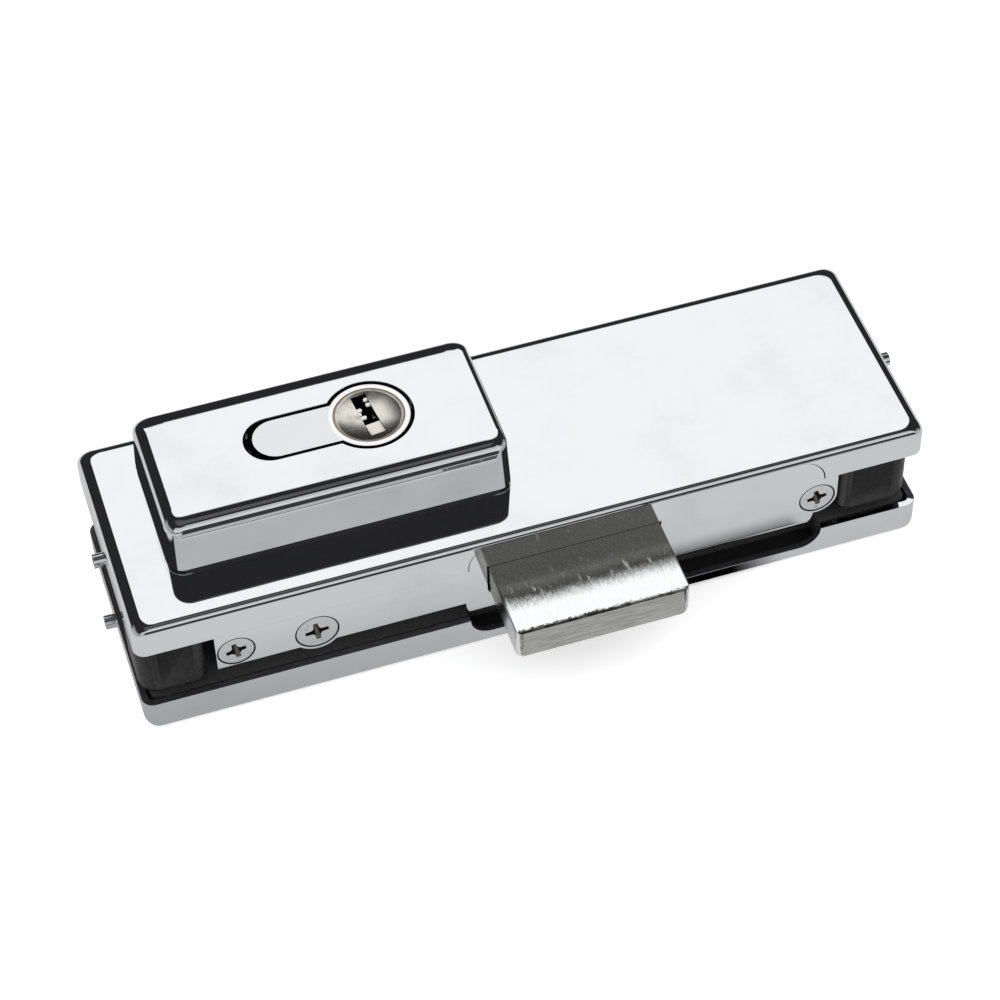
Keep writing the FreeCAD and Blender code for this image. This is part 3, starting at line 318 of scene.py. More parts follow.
def whole_copy(frame: dict, node: str, name: str) -> bpy.types.Object:
    """Copy a solid's mesh into a new piece, with its flat faces whole again.

    Args:
        frame: The loaded frame.
        node: The solid's name.
        name: The new piece's name.

    Returns:
        The new object.
    """
    source = frame["nodes"][node]
    shape = bmesh.new()
    shape.from_mesh(source.data)
    shape.transform(source.matrix_world)
    bmesh.ops.remove_doubles(shape, verts=shape.verts, dist=0.0005 * MM)
    bmesh.ops.dissolve_limit(shape, angle_limit=math.radians(0.3), verts=shape.verts,
                             edges=shape.edges)
    return named_object(name, shape)


def place_in_frame(piece: bpy.types.Object, node: str, body: str) -> None:
    """Let a piece stand for a node: hide the node and put the piece on the node's body.

    Args:
        piece: The piece.
        node: The node that it stands for.
        body: The body that it rides on.
    """
    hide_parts(node)
    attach(piece, body)
    LOG.info("built %s", piece.name)


class Nodes:
    """Builds one node tree: adds nodes, sets their sockets and links them."""

    def __init__(self, tree: bpy.types.NodeTree) -> None:
        """Start on a node tree."""
        self.tree = tree

    def add(self, kind: str, **settings: object) -> bpy.types.Node:
        """Add a node.

        Args:
            kind: Blender's name of the node.
            **settings: The node's own properties.

        Returns:
            The new node.
        """
        node = self.tree.nodes.new(kind)
        for key, value in settings.items():
            setattr(node, key, value)
        return node

    def feed(self, socket: bpy.types.NodeSocket, value: object) -> None:
        """Link a socket to an input, or set the input to a plain value.

        Args:
            socket: The input.
            value: A socket, a number or a colour.
        """
        if isinstance(value, bpy.types.NodeSocket):
            self.tree.links.new(value, socket)
        elif socket.type == "RGBA":
            socket.default_value = (*value, 1.0)
        else:
            socket.default_value = value

    def give(self, node: bpy.types.Node, **values: object) -> bpy.types.Node:
        """Feed a node's inputs by name.

        Args:
            node: The node.
            **values: What each input gets; an underscore stands for a space.

        Returns:
            The same node.
        """
        for key, value in values.items():
            self.feed(node.inputs[key.replace("_", " ")], value)
        return node

    def math(self, operation: str, *values: object, clamp: bool = False) -> bpy.types.NodeSocket:
        """Add a math node.

        Args:
            operation: The operation's name.
            *values: Its inputs, as sockets or numbers.
            clamp: Whether the result stays between 0 and 1.

        Returns:
            The result.
        """
        node = self.add("ShaderNodeMath", operation=operation, use_clamp=clamp)
        for socket, value in zip(node.inputs, values):
            self.feed(socket, value)
        return node.outputs[0]

    def product(self, first: object, *others: object) -> bpy.types.NodeSocket:
        """Multiply values, one after the other.

        Args:
            first: The first one.
            *others: The others.

        Returns:
            Their product.
        """
        for other in others:
            first = self.math("MULTIPLY", first, other)
        return first

    def rest(self, share: object) -> bpy.types.NodeSocket:
        """Give what a share leaves of 1."""
        return self.math("SUBTRACT", 1.0, share)

    def swing(self, texture: object, reach: float, value: object) -> bpy.types.NodeSocket:
        """Move a value to and fro by a texture round 0.5, times a reach."""
        return self.math("MULTIPLY_ADD", self.math("SUBTRACT", texture, 0.5), reach, value)

    def distance(self, first: object, second: object) -> bpy.types.NodeSocket:
        """Give the length of the diagonal over two sides."""
        squares = self.math("ADD", self.product(first, first), self.product(second, second))
        return self.math("SQRT", squares)

    def ramp(self, value: object, low: float, high: float,
             out: Limits = (0.0, 1.0)) -> bpy.types.NodeSocket:
        """Map a value smoothly from one range to another.

        Args:
            value: The value.
            low: The value that gives the first result.
            high: The value that gives the second result.
            out: The two results.

        Returns:
            The mapped value.
        """
        node = self.add("ShaderNodeMapRange", interpolation_type="SMOOTHSTEP")
        self.give(node, Value=value, From_Min=low, From_Max=high, To_Min=out[0], To_Max=out[1])
        return node.outputs["Result"]

    def step(self, value: object, place: float, half: float) -> bpy.types.NodeSocket:
        """Step from 0 to 1 over a place, as soft as half its width; a negative one steps down."""
        return self.ramp(value, place - half, place + half)

    def mix(self, factor: object, first: object, second: object) -> bpy.types.NodeSocket:
        """Mix two colours.

        Args:
            factor: The share of the second colour.
            first: The first colour.
            second: The second colour.

        Returns:
            The mixed colour.
        """
        node = self.add("ShaderNodeMix", data_type="RGBA")
        for key, value in zip((0, 6, 7), (factor, first, second)):
            self.feed(node.inputs[key], value)
        return node.outputs[2]

    def noise(self, vector: bpy.types.NodeSocket, scale: object, detail: float,
              roughness: float) -> bpy.types.NodeSocket:
        """Add a noise texture.

        Args:
            vector: Where it is read.
            scale: Its scale.
            detail: Its number of octaves.
            roughness: How strong the finer octaves are.

        Returns:
            Its value.
        """
        node = self.add("ShaderNodeTexNoise")
        self.give(node, Vector=vector, Scale=scale, Detail=detail, Roughness=roughness)
        return node.outputs["Fac"]

    def place(self, output: str = "Object") -> tuple[bpy.types.NodeSocket, ...]:
        """Give the coordinates of a point.

        Args:
            output: Which coordinates.

        Returns:
            Their vector, then its x, y and z.
        """
        vector = self.add("ShaderNodeTexCoord").outputs[output]
        split = self.give(self.add("ShaderNodeSeparateXYZ"), Vector=vector)
        return vector, *split.outputs

    def stretched(self, stretch: Stretch = (1.0, 1.0, 1.0)) -> bpy.types.NodeSocket:
        """Give the piece's own coordinates, stretched so that a texture runs along one way.

        Args:
            stretch: The scale along each axis.

        Returns:
            The coordinates.
        """
        place = self.add("ShaderNodeTexCoord").outputs["Object"]
        mapping = self.give(self.add("ShaderNodeMapping"), Vector=place, Scale=stretch)
        return mapping.outputs["Vector"]


class Effects:
    """The shader groups that more than one finish uses, each built once."""

    @staticmethod
    def start(name: str, inputs: dict[str, float],
              outputs: tuple[str, ...]) -> tuple[Nodes, object, object]:
        """Open a new group.

        Args:
            name: The group's name.
            inputs: Its number inputs with their usual values.
            outputs: Its number outputs.

        Returns:
            The builder, the sockets that the group is given, and its output node.
        """
        tree = bpy.data.node_groups.new(name, "ShaderNodeTree")
        tree.interface.new_socket("Vector", in_out="INPUT", socket_type="NodeSocketVector")
        for key, value in inputs.items():
            socket = tree.interface.new_socket(key, in_out="INPUT", socket_type="NodeSocketFloat")
            socket.default_value = value
        for key in outputs:
            tree.interface.new_socket(key, in_out="OUTPUT", socket_type="NodeSocketFloat")
        build = Nodes(tree)
        return build, build.add("NodeGroupInput").outputs, build.add("NodeGroupOutput")

    @staticmethod
    @cache
    def handling() -> bpy.types.NodeTree:
        """Build soft smudges and haze, as hands and a cloth leave on polished metal.

        Returns:
            The group, with the outputs Haze and Waves.
        """
        build, given, result = Effects.start("handling marks", {"Scale": 60.0, "Spread": 0.5},
                                             ("Haze", "Waves"))
        vector, scale = given["Vector"], given["Scale"]
        patches = build.ramp(build.noise(vector, scale, 4.0, 0.6), 0.45, 0.75)
        fine = build.noise(vector, build.product(scale, 9.0), 5.0, 0.7)
        haze = build.product(patches, build.math("MULTIPLY_ADD", fine, given["Spread"], 0.5))
        waves = build.noise(vector, build.product(scale, 2.5), 1.0, 0.4)
        build.give(result, Haze=haze, Waves=waves)
        return build.tree

    @staticmethod
    @cache
    def scratches() -> bpy.types.NodeTree:
        """Build fine parallel lines with some deeper scratches among them.

        Returns:
            The group, with the outputs Lines and Deep.
        """
        build, given, result = Effects.start("fine scratches", {"Scale": 900.0, "Share": 0.62},
                                             ("Lines", "Deep"))
        vector, scale = given["Vector"], given["Scale"]
        sparse = build.noise(vector, build.product(scale, 0.45), 2.0, 0.5)
        over = build.math("SUBTRACT", sparse, given["Share"])
        build.give(result, Lines=build.noise(vector, scale, 6.0, 0.75),
                   Deep=build.math("MULTIPLY", over, 14.0, clamp=True))
        return build.tree

    @staticmethod
    @cache
    def speckle() -> bpy.types.NodeTree:
        """Build the fine grain and dust of moulded or cast surfaces.

        Returns:
            The group, with the outputs Grain and Dust.
        """
        build, given, result = Effects.start("grain and dust", {"Scale": 1500.0, "Dust": 0.68},
                                             ("Grain", "Dust"))
        vector, scale = given["Vector"], given["Scale"]
        specks = build.noise(vector, build.product(scale, 1.7), 2.0, 0.5)
        over = build.math("SUBTRACT", specks, given["Dust"])
        build.give(result, Grain=build.noise(vector, scale, 4.0, 0.65),
                   Dust=build.math("MULTIPLY", over, 12.0, clamp=True))
        return build.tree

    @staticmethod
    @cache
    def worn_edges() -> bpy.types.NodeTree:
        """Build a mask of the edges that stand out, broken up by noise.

        Returns:
            The group, with the output Worn.
        """
        build, given, result = Effects.start(
            "worn edges", {"Scale": 400.0, "Start": 0.53, "Full": 0.6}, ("Worn",))
        shape = build.add("ShaderNodeNewGeometry")
        rough = build.noise(given["Vector"], given["Scale"], 4.0, 0.7)
        raised = build.swing(rough, 0.06, shape.outputs["Pointiness"])
        span = build.math("SUBTRACT", given["Full"], given["Start"])
        over = build.math("SUBTRACT", raised, given["Start"])
        build.give(result, Worn=build.math("DIVIDE", over, span, clamp=True))
        return build.tree


class Surface:
    """One material under construction: its nodes, its shader and its effects."""

    def __init__(self, name: str) -> None:
        """Start a material with one Principled shader.

        Args:
            name: The material's name.
        """
        self.material = bpy.data.materials.new(name)
        self.material.use_nodes = True
        self.build = Nodes(self.material.node_tree)
        self.shader = self.material.node_tree.nodes["Principled BSDF"]

    def set(self, **values: object) -> None:
        """Set or link the shader's own inputs; an underscore stands for a space."""
        self.build.give(self.shader, **values)

    def effect(self, group: bpy.types.NodeTree, stretch: Stretch = (1.0, 1.0, 1.0),
               **values: float) -> bpy.types.NodeOutputs:
        """Place an effect's group in the material.

        Args:
            group: The effect.
            stretch: The scale of its coordinates along each axis.
            **values: Its number inputs.

        Returns:
            The group's outputs.
        """
        node = self.build.add("ShaderNodeGroup", node_tree=group)
        return self.build.give(node, Vector=self.build.stretched(stretch), **values).outputs

    def bump(self, height: bpy.types.NodeSocket, depth: float) -> None:
        """Raise the surface by a height map from 0 to 1, times a depth in metres."""
        node = self.build.give(self.build.add("ShaderNodeBump"), Height=height, Distance=depth,
                               Strength=1.0)
        self.set(Normal=node.outputs["Normal"])

    def scratched(self, lines: bpy.types.NodeOutputs, depth: float) -> None:
        """Cut the lines of the scratches' effect into the surface, the deep ones deeper."""
        self.bump(self.build.math("MULTIPLY_ADD", lines["Deep"], -0.7, lines["Lines"]), depth)

    def grainy(self, scale: float, dust: float, roughness: Limits,
               depth: float) -> bpy.types.NodeSocket:
        """Give the surface a fine grain.

        Args:
            scale: The grain's scale.
            dust: The noise above which dust lies.
            roughness: The least and the most roughness.
            depth: The grain's depth in metres.

        Returns:
            The mask of its dust.
        """
        speckle = self.effect(Effects.speckle(), Scale=scale, Dust=dust)
        self.set(Roughness=self.build.ramp(speckle["Grain"], 0.2, 0.8, roughness))
        self.bump(speckle["Grain"], depth)
        return speckle["Dust"]


@dataclass(frozen=True)
class PolishedChrome:
    """Mirror-polished chrome with faint haze and a slight waviness."""

    name: str = "polished chrome"
    colour: Colour = (0.88, 0.885, 0.9)
    dull: Colour = (0.8, 0.805, 0.82)
    roughness: Limits = (0.03, 0.07)
    haze_scale: float = 55.0
    wave_depth: float = 0.012 * MM

    def make(self) -> bpy.types.Material:
        """Build the material.

        Returns:
            The material.
        """
        surface = Surface(self.name)
        build = surface.build
        marks = surface.effect(Effects.handling(), Scale=self.haze_scale, Spread=0.5)
        surface.set(Metallic=1.0, Base_Color=build.mix(marks["Haze"], self.colour, self.dull),
                    Roughness=build.ramp(marks["Haze"], 0.0, 1.0, self.roughness))
        surface.bump(marks["Waves"], self.wave_depth)
        return surface.material


@dataclass(frozen=True)
class BrushedSteel:
    """Brushed and plated steel, brushed along one way, with deeper scratches."""

    name: str
    colour: Colour
    scratch_colour: Colour
    roughness: Limits
    depth: float
    scale: float = 900.0
    share: float = 0.62
    stretch: Stretch = (1.0, 1.0, 1.0)
    haze_scale: float = 90.0

    def make(self) -> bpy.types.Material:
        """Build the material.

        Returns:
            The material.
        """
        surface = Surface(self.name)
        build = surface.build
        lines = surface.effect(Effects.scratches(), self.stretch, Scale=self.scale,
                               Share=self.share)
        marks = surface.effect(Effects.handling(), Scale=self.haze_scale, Spread=0.6)
        uneven = build.math("MULTIPLY_ADD", marks["Haze"], 0.25, lines["Lines"])
        surface.set(Metallic=1.0,
                    Base_Color=build.mix(lines["Deep"], self.colour, self.scratch_colour),
                    Roughness=build.ramp(uneven, 0.2, 0.9, self.roughness))
        surface.scratched(lines, self.depth)
        return surface.material


@dataclass(frozen=True)
class Rubber:
    """Black rubber, plastic or lacquer with a fine grain, some dust and paler worn edges."""

    name: str
    colour: Colour
    dust_colour: Colour
    roughness: Limits
    grain: float
    scale: float = 1500.0
    gloss: float = 0.5

    def make(self) -> bpy.types.Material:
        """Build the material.

        Returns:
            The material.
        """
        surface = Surface(self.name)
        build = surface.build
        dust = surface.grainy(self.scale, 0.66, self.roughness, self.grain)
        worn = surface.effect(Effects.worn_edges(), Scale=500.0, Start=0.52, Full=0.62)
        pale = build.math("MULTIPLY_ADD", worn["Worn"], 0.5, dust, clamp=True)
        surface.set(Specular_IOR_Level=self.gloss,
                    Base_Color=build.mix(pale, self.colour, self.dust_colour))
        return surface.material


@dataclass(frozen=True)
class CastMetal:
    """Cast or plated metal: grainy, with brighter worn edges."""

    name: str
    colour: Colour
    worn_colour: Colour
    metallic: float
    roughness: Limits
    grain: float
    scale: float = 900.0

    def make(self) -> bpy.types.Material:
        """Build the material.

        Returns:
            The material.
        """
        surface = Surface(self.name)
        surface.grainy(self.scale, 0.7, self.roughness, self.grain)
        worn = surface.effect(Effects.worn_edges(), Scale=420.0, Start=0.52, Full=0.6)
        surface.set(Metallic=self.metallic, Base_Color=surface.build.mix(
            worn["Worn"], self.colour, self.worn_colour))
        return surface.material


@dataclass(frozen=True)
class TurnedNickel:
    """Nickel plate turned round the plug's axis, with a warm sheen, and bare at its rim."""

    name: str
    colour: Colour
    warm: Colour
    roughness: Limits
    depth: float
    rim: Colour
    rim_start: float
    rim_soft: float = 0.05 * MM
    ring_scale: float = 9000.0
    haze_scale: float = 260.0

    def make(self) -> bpy.types.Material:
        """Build the material.

        Returns:
            The material.
        """
        surface = Surface(self.name)
        build = surface.build
        _, x, y, _ = build.place()
        radius = build.distance(build.math("SUBTRACT", x, PLUG_AXIS[0]),
                                build.math("SUBTRACT", y, PLUG_AXIS[1]))
        rings = build.give(build.add("ShaderNodeTexNoise", noise_dimensions="1D"), W=radius,
                           Scale=self.ring_scale, Detail=3.0)
        haze = surface.effect(Effects.handling(), Scale=self.haze_scale, Spread=0.7)["Haze"]
        tone = build.mix(haze, self.colour, self.warm)
        at_rim = build.step(radius, self.rim_start, self.rim_soft)
        surface.set(Metallic=1.0, Base_Color=build.mix(at_rim, tone, self.rim),
                    Roughness=build.ramp(haze, 0.0, 1.0, self.roughness))
        surface.bump(rings.outputs["Fac"], self.depth)
        return surface.material


@dataclass(frozen=True)
class BoltSteel:
    """Ground, plated steel with its reflection painted into its colour: dark where it runs in the
    case, bright towards the nose.

    Places along the bolt are the frame's y, and the top is its z.
    """

    name: str = "ground bolt"
    # These colours paint the bolt's reflection: dull and dark for its painted dark reflection,
    # bright for its painted bright reflection.
    dull: Colour = (0.235, 0.232, 0.212)
    dark: Colour = (0.06, 0.06, 0.057)
    bright: Colour = (0.99, 0.99, 0.985)
    nose: Colour = (0.56, 0.56, 0.535)
    streak: Colour = (0.42, 0.42, 0.395)
    scratch: Colour = (0.6, 0.6, 0.57)
    chip: Colour = (0.02, 0.02, 0.018)
    run_end: float = -36.9 * MM
    blur: float = 2.3 * MM
    ragged: float = 6.5 * MM
    waver: float = 1.2 * MM
    painted_darkening: Limits = (-30.5 * MM, -35.5 * MM)
    wear: Limits = (-27.0 * MM, -35.0 * MM)
    wear_share: Limits = (0.12, 0.75)
    nose_start: float = -44.05 * MM
    nose_soft: float = 0.06 * MM
    chip_end: float = -43.55 * MM
    chip_soft: float = 0.1 * MM
    chip_ragged: float = 2.2 * MM
    chip_low: float = 23.15 * MM
    chip_high: float = 23.35 * MM
    roughness: Limits = (0.2, 0.36)
    burnish: float = -0.14
    depth: float = 0.005 * MM

    def run(self, build: Nodes, along: bpy.types.NodeSocket, deep: bpy.types.NodeSocket,
            broad: bpy.types.NodeSocket) -> tuple[bpy.types.NodeSocket, bpy.types.NodeSocket]:
        """Colour the bolt's run with its reflection painted in: dull and scratched, then painted
        dark, then painted bright.

        Args:
            build: The material's nodes.
            along: The place along the bolt.
            deep: The mask of the deep scratches.
            broad: A broad noise that makes the borders waver.

        Returns:
            The colour, and the mask of the painted bright part.
        """
        brushed = build.noise(build.stretched((1.0, 0.3, 0.4)), 2400.0, 4.0, 0.75)
        grainy = build.noise(build.stretched((1.0, 0.7, 0.7)), 3600.0, 3.0, 0.8)
        streaks = build.math("MULTIPLY_ADD", grainy, 0.45, build.product(brushed, 0.55))
        waving = build.swing(broad, self.waver, along)
        # Painted bright reflection: a ragged step to near white past the run's end.
        painted_bright = build.step(build.swing(streaks, self.ragged, waving), self.run_end,
                               -self.blur)
        worn = build.product(deep, build.ramp(waving, *self.wear, self.wear_share))
        # Painted dark reflection: dull near the case, darker further out.
        colour = build.mix(build.ramp(waving, *self.painted_darkening), self.dull, self.dark)
        for share, tone in ((worn, self.scratch),
                            (build.ramp(grainy, 0.5, 0.75, (0.0, 0.35)), self.scratch),
                            (build.ramp(brushed, 0.5, 0.25, (0.0, 0.5)), self.dark),
                            (painted_bright, self.bright)):
            colour = build.mix(share, colour, tone)
        return colour, painted_bright

    def make(self) -> bpy.types.Material:
        """Build the material.

        Returns:
            The material.
        """
        surface = Surface(self.name)
        build = surface.build
        vector, _, along, height = build.place()
        lines = surface.effect(Effects.scratches(), (1.0, 0.3, 1.0), Scale=2300.0, Share=0.64)
        haze = surface.effect(Effects.handling(), Scale=120.0, Spread=0.6)["Haze"]
        colour, painted_bright = self.run(build, along, lines["Deep"],
                                     build.noise(vector, 190.0, 2.0, 0.5))
        rolled = build.noise(build.stretched((0.08, 1.0, 1.0)), 2200.0, 3.0, 0.6)
        nose = build.mix(build.ramp(rolled, 0.42, 0.62), self.nose, self.streak)
        nose = build.mix(build.product(haze, 0.6), nose, self.streak)
        colour = build.mix(build.step(along, self.nose_start, -self.nose_soft), colour, nose)
        frayed = build.swing(build.noise(vector, 1500.0, 4.0, 0.75), self.chip_ragged, along)
        patchy = build.ramp(build.noise(vector, 420.0, 2.0, 0.6), 0.35, 0.6, (0.45, 0.95))
        chipped = build.product(build.step(frayed, self.chip_end, -self.chip_soft),
                                build.ramp(height, self.chip_low, self.chip_high), patchy)
        rough = build.math("MULTIPLY_ADD", painted_bright, self.burnish,
                           build.ramp(lines["Lines"], 0.2, 0.9, self.roughness))
        surface.set(Metallic=1.0, Base_Color=build.mix(chipped, colour, self.chip),
                    Roughness=rough)
        surface.scratched(lines, self.depth)
        return surface.material


class Finishes:
    """Every finish of the lock, made once each."""

    def __init__(self) -> None:
        """Make the finishes."""
        self.chrome = PolishedChrome().make()
        self.bolt = BoltSteel().make()
        self.screw = BrushedSteel(
            "plated screw", (0.78, 0.785, 0.8), (0.5, 0.5, 0.52), roughness=(0.08, 0.25),
            depth=0.006 * MM, scale=1400.0, share=0.66).make()
        self.zinc = BrushedSteel(
            "zinc steel", (0.6, 0.62, 0.66), (0.45, 0.46, 0.5), roughness=(0.25, 0.5),
            depth=0.01 * MM, scale=800.0, share=0.64).make()
        self.drive = BrushedSteel(
            "drive steel", (0.42, 0.43, 0.46), (0.3, 0.3, 0.32), roughness=(0.2, 0.45),
            depth=0.01 * MM, stretch=(3.0, 0.4, 1.0)).make()
        self.rubber = Rubber(
            "black rubber", (0.0045, 0.0045, 0.005), (0.07, 0.07, 0.07), roughness=(0.22, 0.42),
            grain=0.015 * MM, gloss=0.14).make()
        self.gasket = Rubber(
            "gasket rubber", (0.006, 0.006, 0.0065), (0.05, 0.05, 0.05), roughness=(0.45, 0.7),
            grain=0.02 * MM, gloss=0.14).make()
        self.plastic = Rubber(
            "guide plastic", (0.03, 0.03, 0.032), (0.12, 0.12, 0.12), roughness=(0.35, 0.55),
            grain=0.01 * MM, scale=900.0).make()
        self.plate = Rubber(
            "black lacquered plate", (0.006, 0.006, 0.0065), (0.08, 0.08, 0.082),
            roughness=(0.35, 0.6), grain=0.02 * MM, scale=900.0, gloss=0.14).make()
        # Painted shade for the countersink gap round the screw heads.
        self.grime = Rubber(
            "grime in the rim", (0.006, 0.006, 0.006), (0.03, 0.03, 0.03), roughness=(0.5, 0.7),
            grain=0.004 * MM).make()
        # Unpolished inside of the covers, darkened as painted shade, and painted shade on the
        # notch's cut.
        self.raw = CastMetal(
            "raw inner side", (0.05, 0.05, 0.053), (0.2, 0.2, 0.21), metallic=0.8,
            roughness=(0.4, 0.6), grain=0.02 * MM).make()
        self.case = CastMetal(
            "cast case", (0.035, 0.035, 0.038), (0.3, 0.3, 0.31), metallic=0.7,
            roughness=(0.35, 0.6), grain=0.03 * MM).make()
        self.pin = CastMetal(
            "pin brass", (0.74, 0.66, 0.46), (0.9, 0.85, 0.7), metallic=1.0,
            roughness=(0.12, 0.3), grain=0.004 * MM, scale=1800.0).make()
        self.tip = CastMetal(
            "plated tip", (0.9, 0.88, 0.82), (0.97, 0.96, 0.93), metallic=0.3,
            roughness=(0.25, 0.4), grain=0.003 * MM, scale=1800.0).make()
        self.floor = CastMetal(
            "milled floor", (0.78, 0.75, 0.68), (0.97, 0.96, 0.93), metallic=0.35,
            roughness=(0.3, 0.45), grain=0.004 * MM, scale=1500.0).make()
        # Dark as painted shade in the key slot: its walls and the plug below its face.
        self.slot = CastMetal(
            "slot walls", (0.03, 0.028, 0.022), (0.16, 0.15, 0.13), metallic=1.0,
            roughness=(0.3, 0.5), grain=0.004 * MM, scale=1800.0).make()
        # Dark as painted shade in the screws' cross recesses.
        self.recess = CastMetal(
            "driven recess", (0.16, 0.155, 0.14), (0.7, 0.7, 0.68), metallic=1.0,
            roughness=(0.2, 0.4), grain=0.004 * MM, scale=1500.0).make()
        self.inlay = TurnedNickel(
            "bright nickel", (0.95, 0.94, 0.93), (0.9, 0.9, 0.9), roughness=(0.06, 0.12),
            depth=0.0004 * MM, rim=(0.79, 0.795, 0.81), rim_start=8.3 * MM).make()
        self.plug = TurnedNickel(
            "warm nickel", (0.86, 0.83, 0.76), (0.72, 0.67, 0.58), roughness=(0.18, 0.3),
            depth=0.003 * MM, rim=(0.4, 0.33, 0.27), rim_start=6.86 * MM).make()


@dataclass(frozen=True)
class EdgeRound:
    """The soft edge of a polished face: a long, slight fall, then a round down to the wall."""

    fall: float
    fall_angle: float
    radius: float
    wall_angle: float = 90.0
    fall_steps: int = 8
    round_steps: int = 16

    def steps_down(self) -> list[Point]:
        """Give the edge's profile.

        Returns:
            Pairs of the way outwards and the way down, from the flat face to the wall.
        """
        start = math.radians(self.fall_angle)
        end = math.radians(self.wall_angle)
        points = []
        for step in range(self.fall_steps):
            share = step / self.fall_steps
            points.append((self.fall * share, start * self.fall * share ** 3 / 3))
        base = start * self.fall / 3
        for step in range(self.round_steps + 1):
            turn = start + (end - start) * step / self.round_steps
            points.append((self.fall + self.radius * (math.sin(turn) - math.sin(start)),
                           base + self.radius * (math.cos(start) - math.cos(turn))))
        return points


@dataclass(frozen=True)
class SoftEdges:
    """The soft edges of a block's sides, which flow into each other at its corners."""

    front: EdgeRound
    back_left: EdgeRound
    back_right: EdgeRound
    left: EdgeRound
    right: EdgeRound
    inner_corner: float

    def at_corner(self, x_side: int, y_side: int) -> tuple[EdgeRound, EdgeRound]:
        """Give the edges that meet at a corner.

        Args:
            x_side: -1 for the left end, 1 for the right one.
            y_side: -1 for the front, 1 for the back.

        Returns:
            The end's edge and the long side's edge.
        """
        end = self.right if x_side > 0 else self.left
        if y_side < 0:
            return end, self.front
        return end, self.back_right if x_side > 0 else self.back_left


def soft_block(name: str, low: Vector, high: Vector, corner: float, edges: SoftEdges,
               up: int = 1, lean: Point = (0.0, 0.0)) -> bpy.types.Object:
    """Build a block with round uprights and a soft edge round one face.

    Args:
        name: The piece's name.
        low: The lowest corner of its box.
        high: The highest corner of its box.
        corner: The radius of its uprights.
        edges: The soft edges.
        up: 1 for a soft top, -1 for a soft underside.
        lean: How far the walls across X and across Y lean in over the block's height.

    Returns:
        The new object.
    """
    face, foot = (high.z, low.z) if up > 0 else (low.z, high.z)
    height = high.z - low.z
    corners = ((1, 1, 0), (-1, 1, 90), (-1, -1, 180), (1, -1, 270))

    def inset_and_drop(profile: list[Point], step: int, leaning: float) -> Point:
        """Give how far in and how far down an edge is at one step."""
        reach, drop = profile[-1]
        return reach - profile[step][0] + leaning * (1.0 - drop / height), profile[step][1]

    def ring(step: int) -> list[Vector]:
        """Draw the block's outline at one step of its edges.

        Args:
            step: The step, from the flat face to the wall.

        Returns:
            The outline's points.
        """
        points = []
        for x_side, y_side, start in corners:
            end, side = (edge.steps_down() for edge in edges.at_corner(x_side, y_side))
            end_inset, end_drop = inset_and_drop(end, step, lean[0])
            side_inset, side_drop = inset_and_drop(side, step, lean[1])
            tighter = (corner - edges.inner_corner) * end[step][0] / end[-1][0]
            radius = edges.inner_corner + tighter
            edge_x = high.x - end_inset if x_side > 0 else low.x + end_inset
            edge_y = high.y - side_inset if y_side > 0 else low.y + side_inset
            centre = (edge_x - x_side * radius, edge_y - y_side * radius)
            turns = [start + 90 * part / CORNER_STEPS for part in range(CORNER_STEPS + 1)]
            for turn, (x, y) in zip(turns, arc(centre, radius, start, start + 90, CORNER_STEPS)):
                blend = math.sin(math.radians(turn)) ** 2
                drop = end_drop + (side_drop - end_drop) * blend
                points.append(Vector((x, y, face - up * drop)))
        return points

    base = rounded_rectangle((low.x, high.x), (low.y, high.y), corner, CORNER_STEPS)
    rings = [[Vector((x, y, foot)) for x, y in base]]
    rings += [ring(step) for step in reversed(range(len(edges.front.steps_down())))]
    return loft(name, rings)


